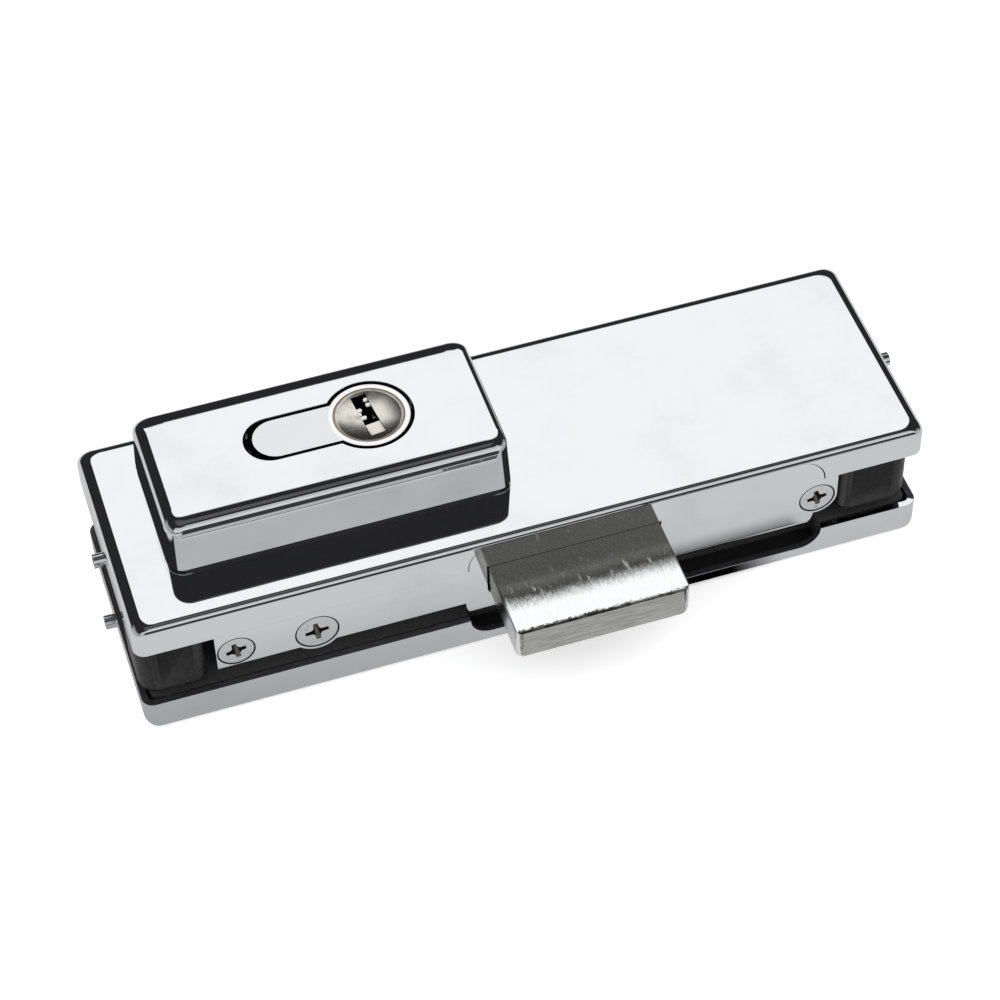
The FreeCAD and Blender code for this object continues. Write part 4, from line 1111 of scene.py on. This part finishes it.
@dataclass
class CoverShell:
    """One polished cover: a shallow tray with soft corners, notched in its front flange."""

    node: str
    face: Face
    notch_height: float
    notch_rounds: Limits
    notch: Limits = (-15.2 * MM, 62.7 * MM)
    grub_inset: float = 2.0 * MM
    grub_radius: float = 1.55 * MM
    wall: float = 1.5 * MM
    corner: float = 2.6 * MM
    inner_corner: float = 1.2 * MM
    rim_break: float = 0.24 * MM
    skin: float = 0.85  # the share of the wall that is polished skin
    edges: SoftEdges = SoftEdges(
        front=EdgeRound(1.6 * MM, 5.0, 1.35 * MM), back_left=EdgeRound(1.6 * MM, 5.0, 2.6 * MM),
        back_right=EdgeRound(1.6 * MM, 5.0, 2.6 * MM), left=EdgeRound(1.2 * MM, 4.0, 2.8 * MM),
        right=EdgeRound(1.2 * MM, 4.0, 2.8 * MM), inner_corner=3.3 * MM)

    def rim_and_face(self, low: Vector, high: Vector) -> Limits:
        """Give the heights of the open rim and of the polished face, from the cover's box."""
        return (low.z, high.z) if self.face is Face.UP else (high.z, low.z)

    def notch_cutter(self, low: Vector, rim: float) -> bpy.types.Object:
        """Draw the block that cuts the notch in the front flange.

        Args:
            low: The lowest corner of the cover's box.
            rim: The height of its rim.

        Returns:
            The cutter.
        """
        up = self.face.value
        end = rim + up * self.notch_height
        left, right = self.notch
        first, second = self.notch_rounds
        outline = [(right, rim - up * 2 * PAST)]
        outline += arc((right - second, end - up * second), second, 0, up * 90, CORNER_STEPS)
        outline += arc((left + first, end - up * first), first, up * 90, up * 180, CORNER_STEPS)
        outline.append((left, rim - up * 2 * PAST))
        return prism("notch", outline, (low.y - PAST, low.y + self.wall + 2 * PAST), Plane.FRONT)

    def hollow_cutter(self, low: Vector, high: Vector) -> bpy.types.Object:
        """Draw the block that hollows the cover out.

        Args:
            low: The lowest corner of the cover's box.
            high: Its highest corner.

        Returns:
            The cutter.
        """
        rim, face = self.rim_and_face(low, high)
        up = self.face.value
        outline = rounded_rectangle((low.x + self.wall, high.x - self.wall),
                                    (low.y + self.wall, high.y - self.wall), self.inner_corner)
        return prism("hollow", outline, (rim - up * PAST, face - up * self.wall))

    def grub_cutter(self, low: Vector, high: Vector) -> bpy.types.Object:
        """Draw the rod that cuts the grub screws' holes.

        Args:
            low: The lowest corner of the cover's box.
            high: Its highest corner.

        Returns:
            The cutter.
        """
        height = self.rim_and_face(low, high)[0] + self.face.value * self.grub_inset
        ring = arc((0.0, height), self.grub_radius, 0, 360, 24)[:-1]
        return prism("grub_holes", ring, (low.x - PAST, high.x + PAST), Plane.SIDE)

    def is_raw_or_shaded(self, face: bpy.types.MeshPolygon, low: Vector, high: Vector) -> bool:
        """Tell whether a face lies inside the cover or in the cut of its notch.

        Args:
            face: The face.
            low: The lowest corner of the cover's box.
            high: Its highest corner.

        Returns:
            True for the unpolished inside, darkened as painted shade, and for the notch's cut,
            dark as painted shade.
        """
        rim, top = self.rim_and_face(low, high)
        place = face.center
        across = min(place.x - low.x, high.x - place.x)
        along = min(place.y - low.y, high.y - place.y)
        depth = min(across, along)
        if max(across, along) < self.corner:
            depth = self.corner - math.hypot(self.corner - across, self.corner - along)
        limit = self.wall * self.skin
        in_notch = (self.notch[0] < place.x < self.notch[1] and along < self.wall
                    and abs(face.normal.y) < 0.3
                    and abs(place.z - rim) < self.notch_height + self.rim_break)
        return in_notch or (depth > limit and abs(top - place.z) > limit)

    def build(self, finishes: Finishes, *holes: bpy.types.Object) -> None:
        """Build and dress the cover.

        Args:
            finishes: The lock's finishes.
            *holes: Shapes to cut out of its face.
        """
        low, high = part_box(self.node)
        shell = soft_block(f"{self.node}_shell", low, high, self.corner, self.edges,
                           self.face.value)
        carve(shell, self.hollow_cutter(low, high),
              self.notch_cutter(low, self.rim_and_face(low, high)[0]),
              self.grub_cutter(low, high), *holes)
        add_bevel(shell, self.rim_break, 2, 30.0)
        keep_flats(shell, 40.0)
        coat(shell, finishes.chrome, finishes.raw)
        # The inside and the notch's cut get the dark finish as painted shade.
        for face in shell.data.polygons:
            face.material_index = int(self.is_raw_or_shaded(face, low, high))
        place_in_frame(shell, self.node, "frame")


@dataclass
class Housing:
    """The raised housing round the key cylinder, with its key-shaped opening."""

    node: str = "cylinder_housing"
    radius: float = 8.5 * MM
    half_tail: float = 5.0 * MM
    tail_end: float = -51.0 * MM
    side_gap: float = 0.8 * MM
    tail_gap: float = 1.9 * MM
    core_gap: float = 3.0 * MM
    passage_gap: float = 1.0 * MM
    passage_heights: Limits = (20.0 * MM, 40.0 * MM)
    top: float = 2.4 * MM
    corner: float = 3.2 * MM
    lean: Point = (0.4 * MM, 1.1 * MM)
    rim_break: float = 0.12 * MM
    edges: SoftEdges = SoftEdges(
        front=EdgeRound(4.0 * MM, 10.0, 2.3 * MM, 85.0),
        back_left=EdgeRound(4.6 * MM, 14.0, 2.3 * MM, 85.0),
        back_right=EdgeRound(3.6 * MM, 9.0, 2.3 * MM, 85.0),
        left=EdgeRound(1.9 * MM, 5.0, 2.6 * MM, 88.0),
        right=EdgeRound(0.4 * MM, 4.0, 1.7 * MM, 88.0), inner_corner=3.4 * MM)

    def opening(self, gap: float, tail_gap: float, heights: Limits) -> bpy.types.Object:
        """Draw the key-shaped cutter.

        Args:
            gap: The gap round the cylinder.
            tail_gap: The gap at the tail's end.
            heights: The cutter's limits along Z.

        Returns:
            The cutter.
        """
        outline = key_profile(PLUG_AXIS, self.radius + gap, self.half_tail + gap,
                              self.tail_end - tail_gap)
        return prism("opening", outline, heights)

    def passage(self) -> bpy.types.Object:
        """Draw the hole that the cylinder passes through in the front cover."""
        return self.opening(self.passage_gap, self.passage_gap, self.passage_heights)

    def build(self, finishes: Finishes) -> None:
        """Build and dress the housing.

        Args:
            finishes: The lock's finishes.
        """
        low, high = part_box(self.node)
        block = soft_block("housing_block", low, high, self.corner, self.edges, 1, self.lean)
        carve(block,
              self.opening(self.core_gap, self.core_gap, (low.z - PAST, high.z - self.top)),
              self.opening(self.side_gap, self.tail_gap, (low.z, high.z + PAST)))
        add_bevel(block, self.rim_break, 3, 30.0)
        keep_flats(block, 40.0)
        coat(block, finishes.chrome)
        place_in_frame(block, self.node, "frame")


@dataclass
class BoltBar:
    """The flat bolt: square upper edges, round lower ones, and a softened nose."""

    node: str = "bolt"
    lower_round: float = 2.0 * MM
    upper_round: float = 0.3 * MM
    nose_break: float = 0.6 * MM
    inset: float = 0.01 * MM

    def envelope(self) -> bpy.types.Object:
        """Draw the rounded bar that the solid is trimmed to.

        Returns:
            The bar.
        """
        low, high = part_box(self.node)
        left, right = low.x + self.inset, high.x - self.inset
        foot, top = low.z + self.inset, high.z - self.inset
        lower, upper = self.lower_round, self.upper_round
        outline = arc((right - lower, foot + lower), lower, -90, 0, 12)
        outline += arc((right - upper, top - upper), upper, 0, 90, 4)
        outline += arc((left + upper, top - upper), upper, 90, 180, 4)
        outline += arc((left + lower, foot + lower), lower, 180, 270, 12)
        bar = prism("bolt_envelope", outline, (low.y + self.inset, high.y + PAST), Plane.FRONT)
        add_bevel(bar, self.nose_break, 4, 60.0)
        return bar

    def build(self, frame: dict, finishes: Finishes) -> None:
        """Build and dress the bolt.

        Args:
            frame: The loaded frame.
            finishes: The lock's finishes.
        """
        bar = whole_copy(frame, self.node, "bolt_bar")
        carve(bar, self.envelope(), way=Carving.TRIM)
        keep_flats(bar, 40.0)
        coat(bar, finishes.bolt)
        place_in_frame(bar, self.node, "bolt")


@dataclass
class CrossScrew:
    """A countersunk screw with a cross recess, driven along +Y into the case."""

    name: str
    node: str
    x: float
    z: float
    head_radius: float
    shank_radius: float
    length: float
    turn: float
    head_y: float = -25.65 * MM
    rim: float = 0.32 * MM
    arm_share: float = 0.54
    arm_width: float = 1.15 * MM
    recess: float = 1.7 * MM
    recess_foot: float = 0.3
    recess_mouth: float = 1.07

    def cross(self, share: float) -> list[Point]:
        """Draw the recess's outline: four arms.

        Args:
            share: Its size as a share of its size at the face.

        Returns:
            The outline's points, anticlockwise.
        """
        reach = self.head_radius * self.arm_share * share
        half = self.arm_width / 2 * (0.45 + 0.55 * share)
        arm = ((half * 1.4, -half * 1.4), (half * 1.9, -half), (reach, -half * 0.85),
               (reach, half * 0.85), (half * 1.9, half))
        points = []
        for quarter in range(4):
            turn = math.radians(90 * quarter + self.turn)
            points += [(x * math.cos(turn) - y * math.sin(turn),
                        x * math.sin(turn) + y * math.cos(turn)) for x, y in arm]
        return points

    def blank(self) -> bpy.types.Object:
        """Turn the screw before its recess is cut, with its head at height 0.

        Returns:
            The blank.
        """
        shank, head, rim = self.shank_radius, self.head_radius, self.rim
        inner = head - rim
        return lathe(self.name, [
            (shank * 0.8, -self.length), (shank, 0.4 * MM - self.length),
            (shank, shank - head - rim), (head - 0.02 * MM, -rim),
            (inner + rim * 0.6, -rim * 0.35), (inner + rim * 0.25, -rim * 0.08), (inner, 0.0)])

    def build(self, finishes: Finishes) -> None:
        """Build and dress the screw.

        Args:
            finishes: The lock's finishes.
        """
        screw = self.blank()
        rings = [[Vector((x, y, z)) for x, y in self.cross(share)] for share, z in (
            (self.recess_foot, -self.recess), (1.0, 0.0), (self.recess_mouth, 0.2 * MM))]
        carve(screw, loft("recess", rings))
        keep_flats(screw, 40.0)
        coat(screw, finishes.screw, finishes.grime, finishes.recess)
        # The rim faces get painted shade for the countersink gap round the head.
        for face in screw.data.polygons:
            away = math.hypot(face.center.x, face.center.y)
            if away > self.head_radius - self.rim and face.center.z > -self.rim * 2:
                face.material_index = 1
            # The recess faces get the recess finish, dark as painted shade.
            elif (away < self.head_radius * self.arm_share
                  and -self.recess * 1.1 < face.center.z < -0.05 * MM):
                face.material_index = 2
        move(screw, Matrix.Translation((self.x, self.head_y, self.z))
             @ Matrix.Rotation(math.radians(90), 4, "X"))
        place_in_frame(screw, self.node, "frame")


@dataclass
class KeyCylinder:
    """The key cylinder as it shows: its polished face, the dished plug and the slot's pins.

    Places along the key slot are measured from the plug's axis, before the plug's turn.
    """

    turn: float = 7.0
    slot_half: float = 1.65 * MM
    slot_corner: float = 0.12 * MM
    slot: Limits = (-1.6 * MM, 6.0 * MM)
    mouth: Limits = (-5.2 * MM, -1.1 * MM)
    key_floor: float = 0.9 * MM
    face_depth: float = 1.6 * MM
    rim_break: float = 0.12 * MM
    fit: float = 0.01 * MM
    dish_radius: float = 6.9 * MM
    dish_depth: float = 0.65 * MM
    dish_steps: int = 22
    tip_radius: float = 0.45 * MM
    tip_depth: float = 1.1 * MM
    tip_dome: float = 0.8
    left_tips: tuple[Point, ...] = ((2.8 * MM, 1.2 * MM), (1.7 * MM, 0.7 * MM),
                                    (0.55 * MM, 1.35 * MM))
    right_tips: tuple[Point, ...] = ((5.1 * MM, 0.9 * MM), (3.6 * MM, 0.95 * MM))

    def turned(self) -> Matrix:
        """Give the plug's turn, from coordinates round its axis to the frame's."""
        return (Matrix.Translation((*PLUG_AXIS, 0.0))
                @ Matrix.Rotation(math.radians(self.turn), 4, "Z"))

    def body(self, frame: dict, finishes: Finishes) -> None:
        """Build and dress the cylinder's body.

        Args:
            frame: The loaded frame.
            finishes: The lock's finishes.
        """
        piece = whole_copy(frame, "cylinder_body", "cylinder_shell")
        keep_flats(piece, 40.0)
        coat(piece, finishes.inlay)
        place_in_frame(piece, "cylinder_body", "frame")

    def barrel(self, frame: dict, finishes: Finishes) -> None:
        """Build and dress the plug below its face.

        Args:
            frame: The loaded frame.
            finishes: The lock's finishes.
        """
        low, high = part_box("cylinder_plug")
        piece = whole_copy(frame, "cylinder_plug", "plug_barrel")
        outline = rounded_rectangle((low.x - PAST, high.x + PAST), (low.y - PAST, high.y + PAST),
                                    0.5 * MM)
        carve(piece, prism("above", outline, (high.z - self.face_depth, high.z + PAST)))
        keep_flats(piece, 40.0)
        # The plug below its face is dark as painted shade in the slot.
        coat(piece, finishes.slot)
        place_in_frame(piece, "cylinder_plug", "plug")

    def slot_cutter(self, name: str, ys: Limits, zs: Limits) -> bpy.types.Object:
        """Draw a cutter as wide as the key slot, with its limits along Y from the axis."""
        outline = rounded_rectangle((-self.slot_half, self.slot_half), ys, self.slot_corner, 3)
        return prism(name, outline, zs)

    def face(self, finishes: Finishes) -> None:
        """Build and dress the plug's face: a flat rim, a shallow dish and the key slot's mouth.

        Args:
            finishes: The lock's finishes.
        """
        low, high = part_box("cylinder_plug")
        radius = (high.x - low.x) / 2 - self.fit
        under = high.z - self.face_depth
        floor = high.z - self.key_floor
        profile = [(radius, under), (radius, high.z - self.rim_break),
                   (radius - self.rim_break, high.z)]
        for step in range(self.dish_steps):
            share = 1.0 - step / self.dish_steps
            profile.append((self.dish_radius * share,
                            high.z - self.dish_depth * (1.0 - share ** 2)))
        piece = lathe("dished_plug", profile, 96)
        carve(piece, self.slot_cutter("slot", self.slot, (under - PAST, high.z + PAST)),
              self.slot_cutter("mouth", self.mouth, (floor, high.z + PAST)))
        keep_flats(piece, 12.0)
        coat(piece, finishes.plug, finishes.slot, finishes.floor)
        for face in piece.data.polygons:
            # The slot's walls are dark as painted shade; the key's floor keeps its own finish.
            if abs(face.center.x) < self.slot_half + 0.02 * MM:
                if abs(face.normal.z) < 0.5:
                    face.material_index = 1
                elif abs(face.center.z - floor) < 0.01 * MM:
                    face.material_index = 2
        move(piece, self.turned())
        place_in_frame(piece, "cylinder_plug", "plug")

    def tip(self, name: str, side: int, place: Point, finishes: Finishes) -> None:
        """Build and dress one rounded pin tip that stands out of the slot's wall.

        Args:
            name: The piece's name.
            side: -1 for the wall towards -X, 1 for the other one.
            place: How far along Y it is from the axis, and how far it stands out.
            finishes: The lock's finishes.
        """
        _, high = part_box("cylinder_plug")
        along, reach = place
        radius, dome = self.tip_radius, self.tip_radius * self.tip_dome
        profile = [(radius, -0.1 * MM), (radius, reach - dome)]
        profile += [(radius * math.cos(turn), reach - dome * (1 - math.sin(turn)))
                    for turn in map(math.radians, (30, 55, 75))]
        piece = lathe(name, profile, 24)
        keep_flats(piece, 60.0)
        coat(piece, finishes.tip)
        start = Matrix.Translation((side * self.slot_half, along, high.z - self.tip_depth))
        move(piece, self.turned() @ start @ Matrix.Rotation(math.radians(-90 * side), 4, "Y"))
        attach(piece, "plug")
        LOG.info("built %s", name)

    def build(self, frame: dict, finishes: Finishes) -> None:
        """Build and dress every piece of the cylinder.

        Args:
            frame: The loaded frame.
            finishes: The lock's finishes.
        """
        self.body(frame, finishes)
        self.barrel(frame, finishes)
        self.face(finishes)
        for kind, side, places in (("key", -1, self.left_tips), ("side", 1, self.right_tips)):
            for count, place in enumerate(places, 1):
                self.tip(f"{kind}_pin_tip_{count}", side, place, finishes)


@dataclass
class FacePlate:
    """The polished front of the case, with its edges broken, close to the bolt's top."""

    node: str = "case_face"
    edge: float = 0.22 * MM
    bolt_fit: float = 0.07 * MM
    lip: float = 0.4 * MM
    lip_depth: float = 1.0 * MM

    def build(self, frame: dict, finishes: Finishes) -> None:
        """Build and dress the plate.

        Args:
            frame: The loaded frame.
            finishes: The lock's finishes.
        """
        plate = whole_copy(frame, self.node, "face_plate")
        low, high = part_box("bolt")
        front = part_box(self.node)[0].y
        outline = rounded_rectangle((low.x, high.x), (high.z + self.bolt_fit, high.z + self.lip),
                                    0.02 * MM, 2)
        carve(plate, prism("lip", outline, (front, front + self.lip_depth), Plane.FRONT),
              way=Carving.JOIN)
        add_bevel(plate, self.edge, 3, 30.0)
        keep_flats(plate, 40.0)
        coat(plate, finishes.chrome)
        place_in_frame(plate, self.node, "frame")


def level_grid(name: str, segments: int, size: float, height: float) -> bpy.types.Object:
    """Lay a level grid round the origin.

    Args:
        name: Its name.
        segments: How many cells it has each way.
        size: How far it reaches each way.
        height: Its height.

    Returns:
        The grid.
    """
    shape = bmesh.new()
    bmesh.ops.create_grid(shape, x_segments=segments, y_segments=segments, size=size)
    grid = named_object(name, shape)
    grid.location.z = height
    return grid


def add_floor() -> None:
    """Lay the plain pale floor under the lock."""
    floor = level_grid("floor", segments=4, size=3.0, height=-0.02 * MM)
    surface = Surface("pale floor")
    build = surface.build
    tone = build.noise(build.stretched(), 3.0, 2.0, 0.5)
    surface.set(Base_Color=build.mix(tone, (0.93, 0.93, 0.93), (0.95, 0.95, 0.95)),
                Roughness=0.9, Emission_Strength=0.3, Emission_Color=(1.0, 1.0, 1.0))
    coat(floor, surface.material)
    floor.visible_glossy = False


@dataclass(frozen=True)
class FloorCard:
    """What the polished walls mirror of the floor: darker beside the lock, paler further out.

    The patch darkens the back cover's flange beside the bolt, and the shade the plate's foot.
    """

    half_length: float = 85.0 * MM
    half_width: float = 26.0 * MM
    reach: float = 22.0 * MM
    left: float = 0.4
    right: float = 0.55
    far: float = 0.63
    front: float = -74.0 * MM
    fade: Limits = (36.0 * MM, 45.0 * MM)
    fade_share: float = 0.85
    size: float = 0.6
    height: float = -0.01 * MM
    edge_soft: float = 1.0 * MM
    dark_start: float = 20.0 * MM
    patch_end: float = 50.0 * MM
    patch_soft: float = 7.0 * MM
    patch_reach: float = 4.0 * MM
    shade: float = 0.82
    shade_end: float = 61.0 * MM
    shade_soft: float = 2.0 * MM
    shade_near: Limits = (4.4 * MM, 5.2 * MM)
    shade_far: Limits = (7.0 * MM, 13.0 * MM)

    def light(self, build: Nodes) -> bpy.types.NodeSocket:
        """Work out the card's light.

        Args:
            build: The card's nodes.

        Returns:
            Its strength.
        """
        _, x, y, _ = build.place()
        aside, before = (
            build.math("MAXIMUM", build.math("SUBTRACT", build.math("ABSOLUTE", way), half), 0.0)
            for way, half in ((x, self.half_length), (y, self.half_width)))
        share = build.ramp(build.distance(aside, before), 0.0, self.reach)
        near = build.ramp(x, -self.half_length, self.half_length, (self.left, self.right))
        light = build.math("ADD", build.product(near, build.rest(share)),
                           build.product(share, self.far))
        in_front = build.ramp(y, 0.0, -self.edge_soft)
        start = build.step(x, self.dark_start, self.edge_soft)
        fade = build.product(build.ramp(before, *self.fade), in_front, self.fade_share)
        patch = build.product(start, build.step(x, self.patch_end, -self.patch_soft),
                              build.step(before, self.patch_reach, -self.edge_soft), in_front)
        shade = build.product(start, build.step(x, self.shade_end, -self.shade_soft),
                              build.ramp(before, *self.shade_near),
                              build.ramp(before, *reversed(self.shade_far)), in_front,
                              self.shade)
        for dark in (fade, patch, shade):
            light = build.product(light, build.rest(dark))
        return light

    def build(self) -> None:
        """Lay the card just over the floor, where only mirrored rays meet it."""
        card = level_grid("floor_card", segments=8, size=self.size, height=self.height)
        for corner in card.data.vertices:
            corner.co.y = max(corner.co.y, self.front)
        material = bpy.data.materials.new("floor card")
        material.use_nodes = True
        material.node_tree.nodes.clear()
        build = Nodes(material.node_tree)
        glow = build.give(build.add("ShaderNodeEmission"), Strength=self.light(build))
        build.give(build.add("ShaderNodeOutputMaterial"), Surface=glow.outputs[0])
        coat(card, material)
        for rays in ("camera", "diffuse", "shadow", "transmission"):
            setattr(card, f"visible_{rays}", False)


@dataclass(frozen=True)
class LightPanel:
    """One soft light of the studio, by its place in degrees, with azimuth 0 towards +Y."""

    azimuth: float
    half_width: float
    low: float
    high: float
    soft: float
    colour: Colour


@dataclass(frozen=True)
class Studio:
    """The soft studio light: panels for the polished faces, even light for the rest."""

    even: float = 1.35
    gloom: Colour = (0.022, 0.022, 0.024)
    panels: tuple[LightPanel, ...] = (
        LightPanel(0.0, 180.0, -95.0, -3.0, 1.5, (0.62, 0.62, 0.63)),
        LightPanel(-90.0, 30.0, -39.0, 30.0, 10.0, (0.42, 0.42, 0.43)),
        LightPanel(120.0, 35.0, -39.0, 30.0, 10.0, (0.42, 0.42, 0.43)),
        LightPanel(180.0, 55.0, 10.0, 54.0, 3.0, (0.55, 0.55, 0.56)),
        LightPanel(180.0, 55.0, 10.0, 33.0, 3.0, (0.7, 0.7, 0.71)),
        LightPanel(0.0, 180.0, 72.0, 95.0, 4.0, (0.1, 0.1, 0.105)),
        LightPanel(163.0, 15.0, -40.0, 10.0, 1.5, (0.04, 0.04, 0.042)),
        LightPanel(17.0, 20.0, 41.0, 60.0, 1.0, (1.0, 1.01, 1.02)),
    )

    def build(self) -> None:
        """Build the world's light."""
        world = bpy.data.worlds.new("studio")
        bpy.context.scene.world = world
        world.use_nodes = True
        world.node_tree.nodes.clear()
        build = Nodes(world.node_tree)
        _, x, y, z = build.place("Generated")
        height = build.math("DEGREES", build.math("ARCSINE", z))
        around = build.math("DEGREES", build.math("ARCTAN2", x, y))
        colour: object = self.gloom
        for panel in self.panels:
            apart = build.math("SUBTRACT", around, panel.azimuth)
            away = build.math("ABSOLUTE", build.math("WRAP", apart, 180.0, -180.0))
            mask = build.product(build.step(away, panel.half_width, -panel.soft),
                                 build.step(height, panel.low, panel.soft),
                                 build.step(height, panel.high, -panel.soft))
            colour = build.mix(mask, colour, panel.colour)
        mirrored = build.give(build.add("ShaderNodeBackground"), Color=colour)
        plain = build.give(build.add("ShaderNodeBackground"), Color=(1.0, 1.0, 1.0),
                           Strength=self.even)
        rays = build.add("ShaderNodeLightPath")
        choice = build.give(build.add("ShaderNodeMixShader"), Fac=rays.outputs["Is Glossy Ray"])
        build.feed(choice.inputs[1], plain.outputs[0])
        build.feed(choice.inputs[2], mirrored.outputs[0])
        build.give(build.add("ShaderNodeOutputWorld"), Surface=choice.outputs[0])
        world.cycles.sampling_method = "NONE"


@dataclass(frozen=True)
class PhotoCamera:
    """The camera at the photograph's viewing angle, in degrees and metres."""

    azimuth: float = -16.4698
    elevation: float = 49.1425
    roll: float = -1.8899
    distance: float = 652.0138 * MM
    aside: float = -0.6714 * MM
    above: float = 8.1078 * MM
    lens: float = 108.69
    sensor: float = 36.0

    def build(self) -> None:
        """Place the camera."""
        turn, rise, roll = map(math.radians, (self.azimuth, self.elevation, self.roll))
        back = Vector((math.sin(turn) * math.cos(rise), -math.cos(turn) * math.cos(rise),
                       math.sin(rise)))
        level = Vector((math.cos(turn), math.sin(turn), 0.0))
        right = level * math.cos(roll) + back.cross(level) * math.sin(roll)
        up = back.cross(right)
        data = bpy.data.cameras.new("photo_camera")
        data.lens = self.lens
        data.sensor_width = self.sensor
        data.clip_start = 0.01
        camera = bpy.data.objects.new("photo_camera", data)
        bpy.context.scene.collection.objects.link(camera)
        place = back * self.distance + right * self.aside + up * self.above
        matrix = Matrix((right, up, back)).transposed().to_4x4()
        matrix.translation = place
        camera.matrix_world = matrix
        bpy.context.scene.camera = camera


def dress(frame: dict, node: str, material: bpy.types.Material) -> None:
    """Give a carried-over piece its finish.

    Args:
        frame: The loaded frame.
        node: The piece's name.
        material: Its finish.
    """
    piece = frame["nodes"][node]
    keep_flats(piece, 30.0)
    for place in piece.material_slots:
        place.material = material
    if not piece.material_slots:
        piece.data.materials.append(material)
    LOG.info("dressed %s", node)


def main() -> None:
    """Build, dress and light the lock, and report each piece."""
    logging.basicConfig(level=logging.INFO, format="%(name)s: %(message)s")
    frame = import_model()
    PhotoCamera().build()
    Studio().build()
    add_floor()
    FloorCard().build()
    bpy.context.scene.view_settings.view_transform = "Standard"
    finishes = Finishes()
    housing = Housing()
    housing.build(finishes)
    CoverShell("front_cover", Face.UP, 6.5 * MM,
               (5.6 * MM, 6.3 * MM)).build(finishes, housing.passage())
    CoverShell("back_cover", Face.DOWN, 4.7 * MM, (4.6 * MM, 4.6 * MM)).build(finishes)
    FacePlate().build(frame, finishes)
    BoltBar().build(frame, finishes)
    KeyCylinder().build(frame, finishes)
    for screw in (
        CrossScrew("face_screw_left", "face_screws", x=-64.6 * MM, z=18.2 * MM,
                   head_radius=4.0 * MM, shank_radius=2.0 * MM, length=20 * MM, turn=12),
        CrossScrew("face_screw_right", "face_screws", x=61.3 * MM, z=18.2 * MM,
                   head_radius=4.0 * MM, shank_radius=2.0 * MM, length=20 * MM, turn=8),
        CrossScrew("fixing_screw", "cylinder_fixing_screw", x=-47.65 * MM, z=17.6 * MM,
                   head_radius=4.65 * MM, shank_radius=2.5 * MM, length=32 * MM, turn=6),
    ):
        screw.build(finishes)
    for slot, material, nodes in (
        ("bright_screw", finishes.screw, ("cover_grub_screws",)),
        ("zinc_steel", finishes.zinc, (
            "housing_screws", "clamp_screws", "case_lid_screws", "case_screws", "drag_spring",
            "pin_springs", "plug_clip", "tail_pins")),
        ("plate_alloy", finishes.plate, ("front_clamp_plate", "back_clamp_plate")),
        ("cast_case", finishes.case, ("lock_case", "case_lid")),
        ("black_rubber", finishes.gasket, ("housing_seal", "front_gasket", "back_gasket")),
        ("black_rubber", finishes.rubber, ("end_block_left", "end_block_right")),
        ("guide_plastic", finishes.plastic, ("clamp_sleeves", "bolt_guide", "drag_pad")),
        ("drive_steel", finishes.drive, ("bolt_tail", "cylinder_cam")),
        ("pin_brass", finishes.pin, ("driver_pins", "chamber_plugs", "key_pins", "side_pins")),
    ):
        for node in nodes:
            dress(frame, node, material)


if __name__ == "__main__":
    main()
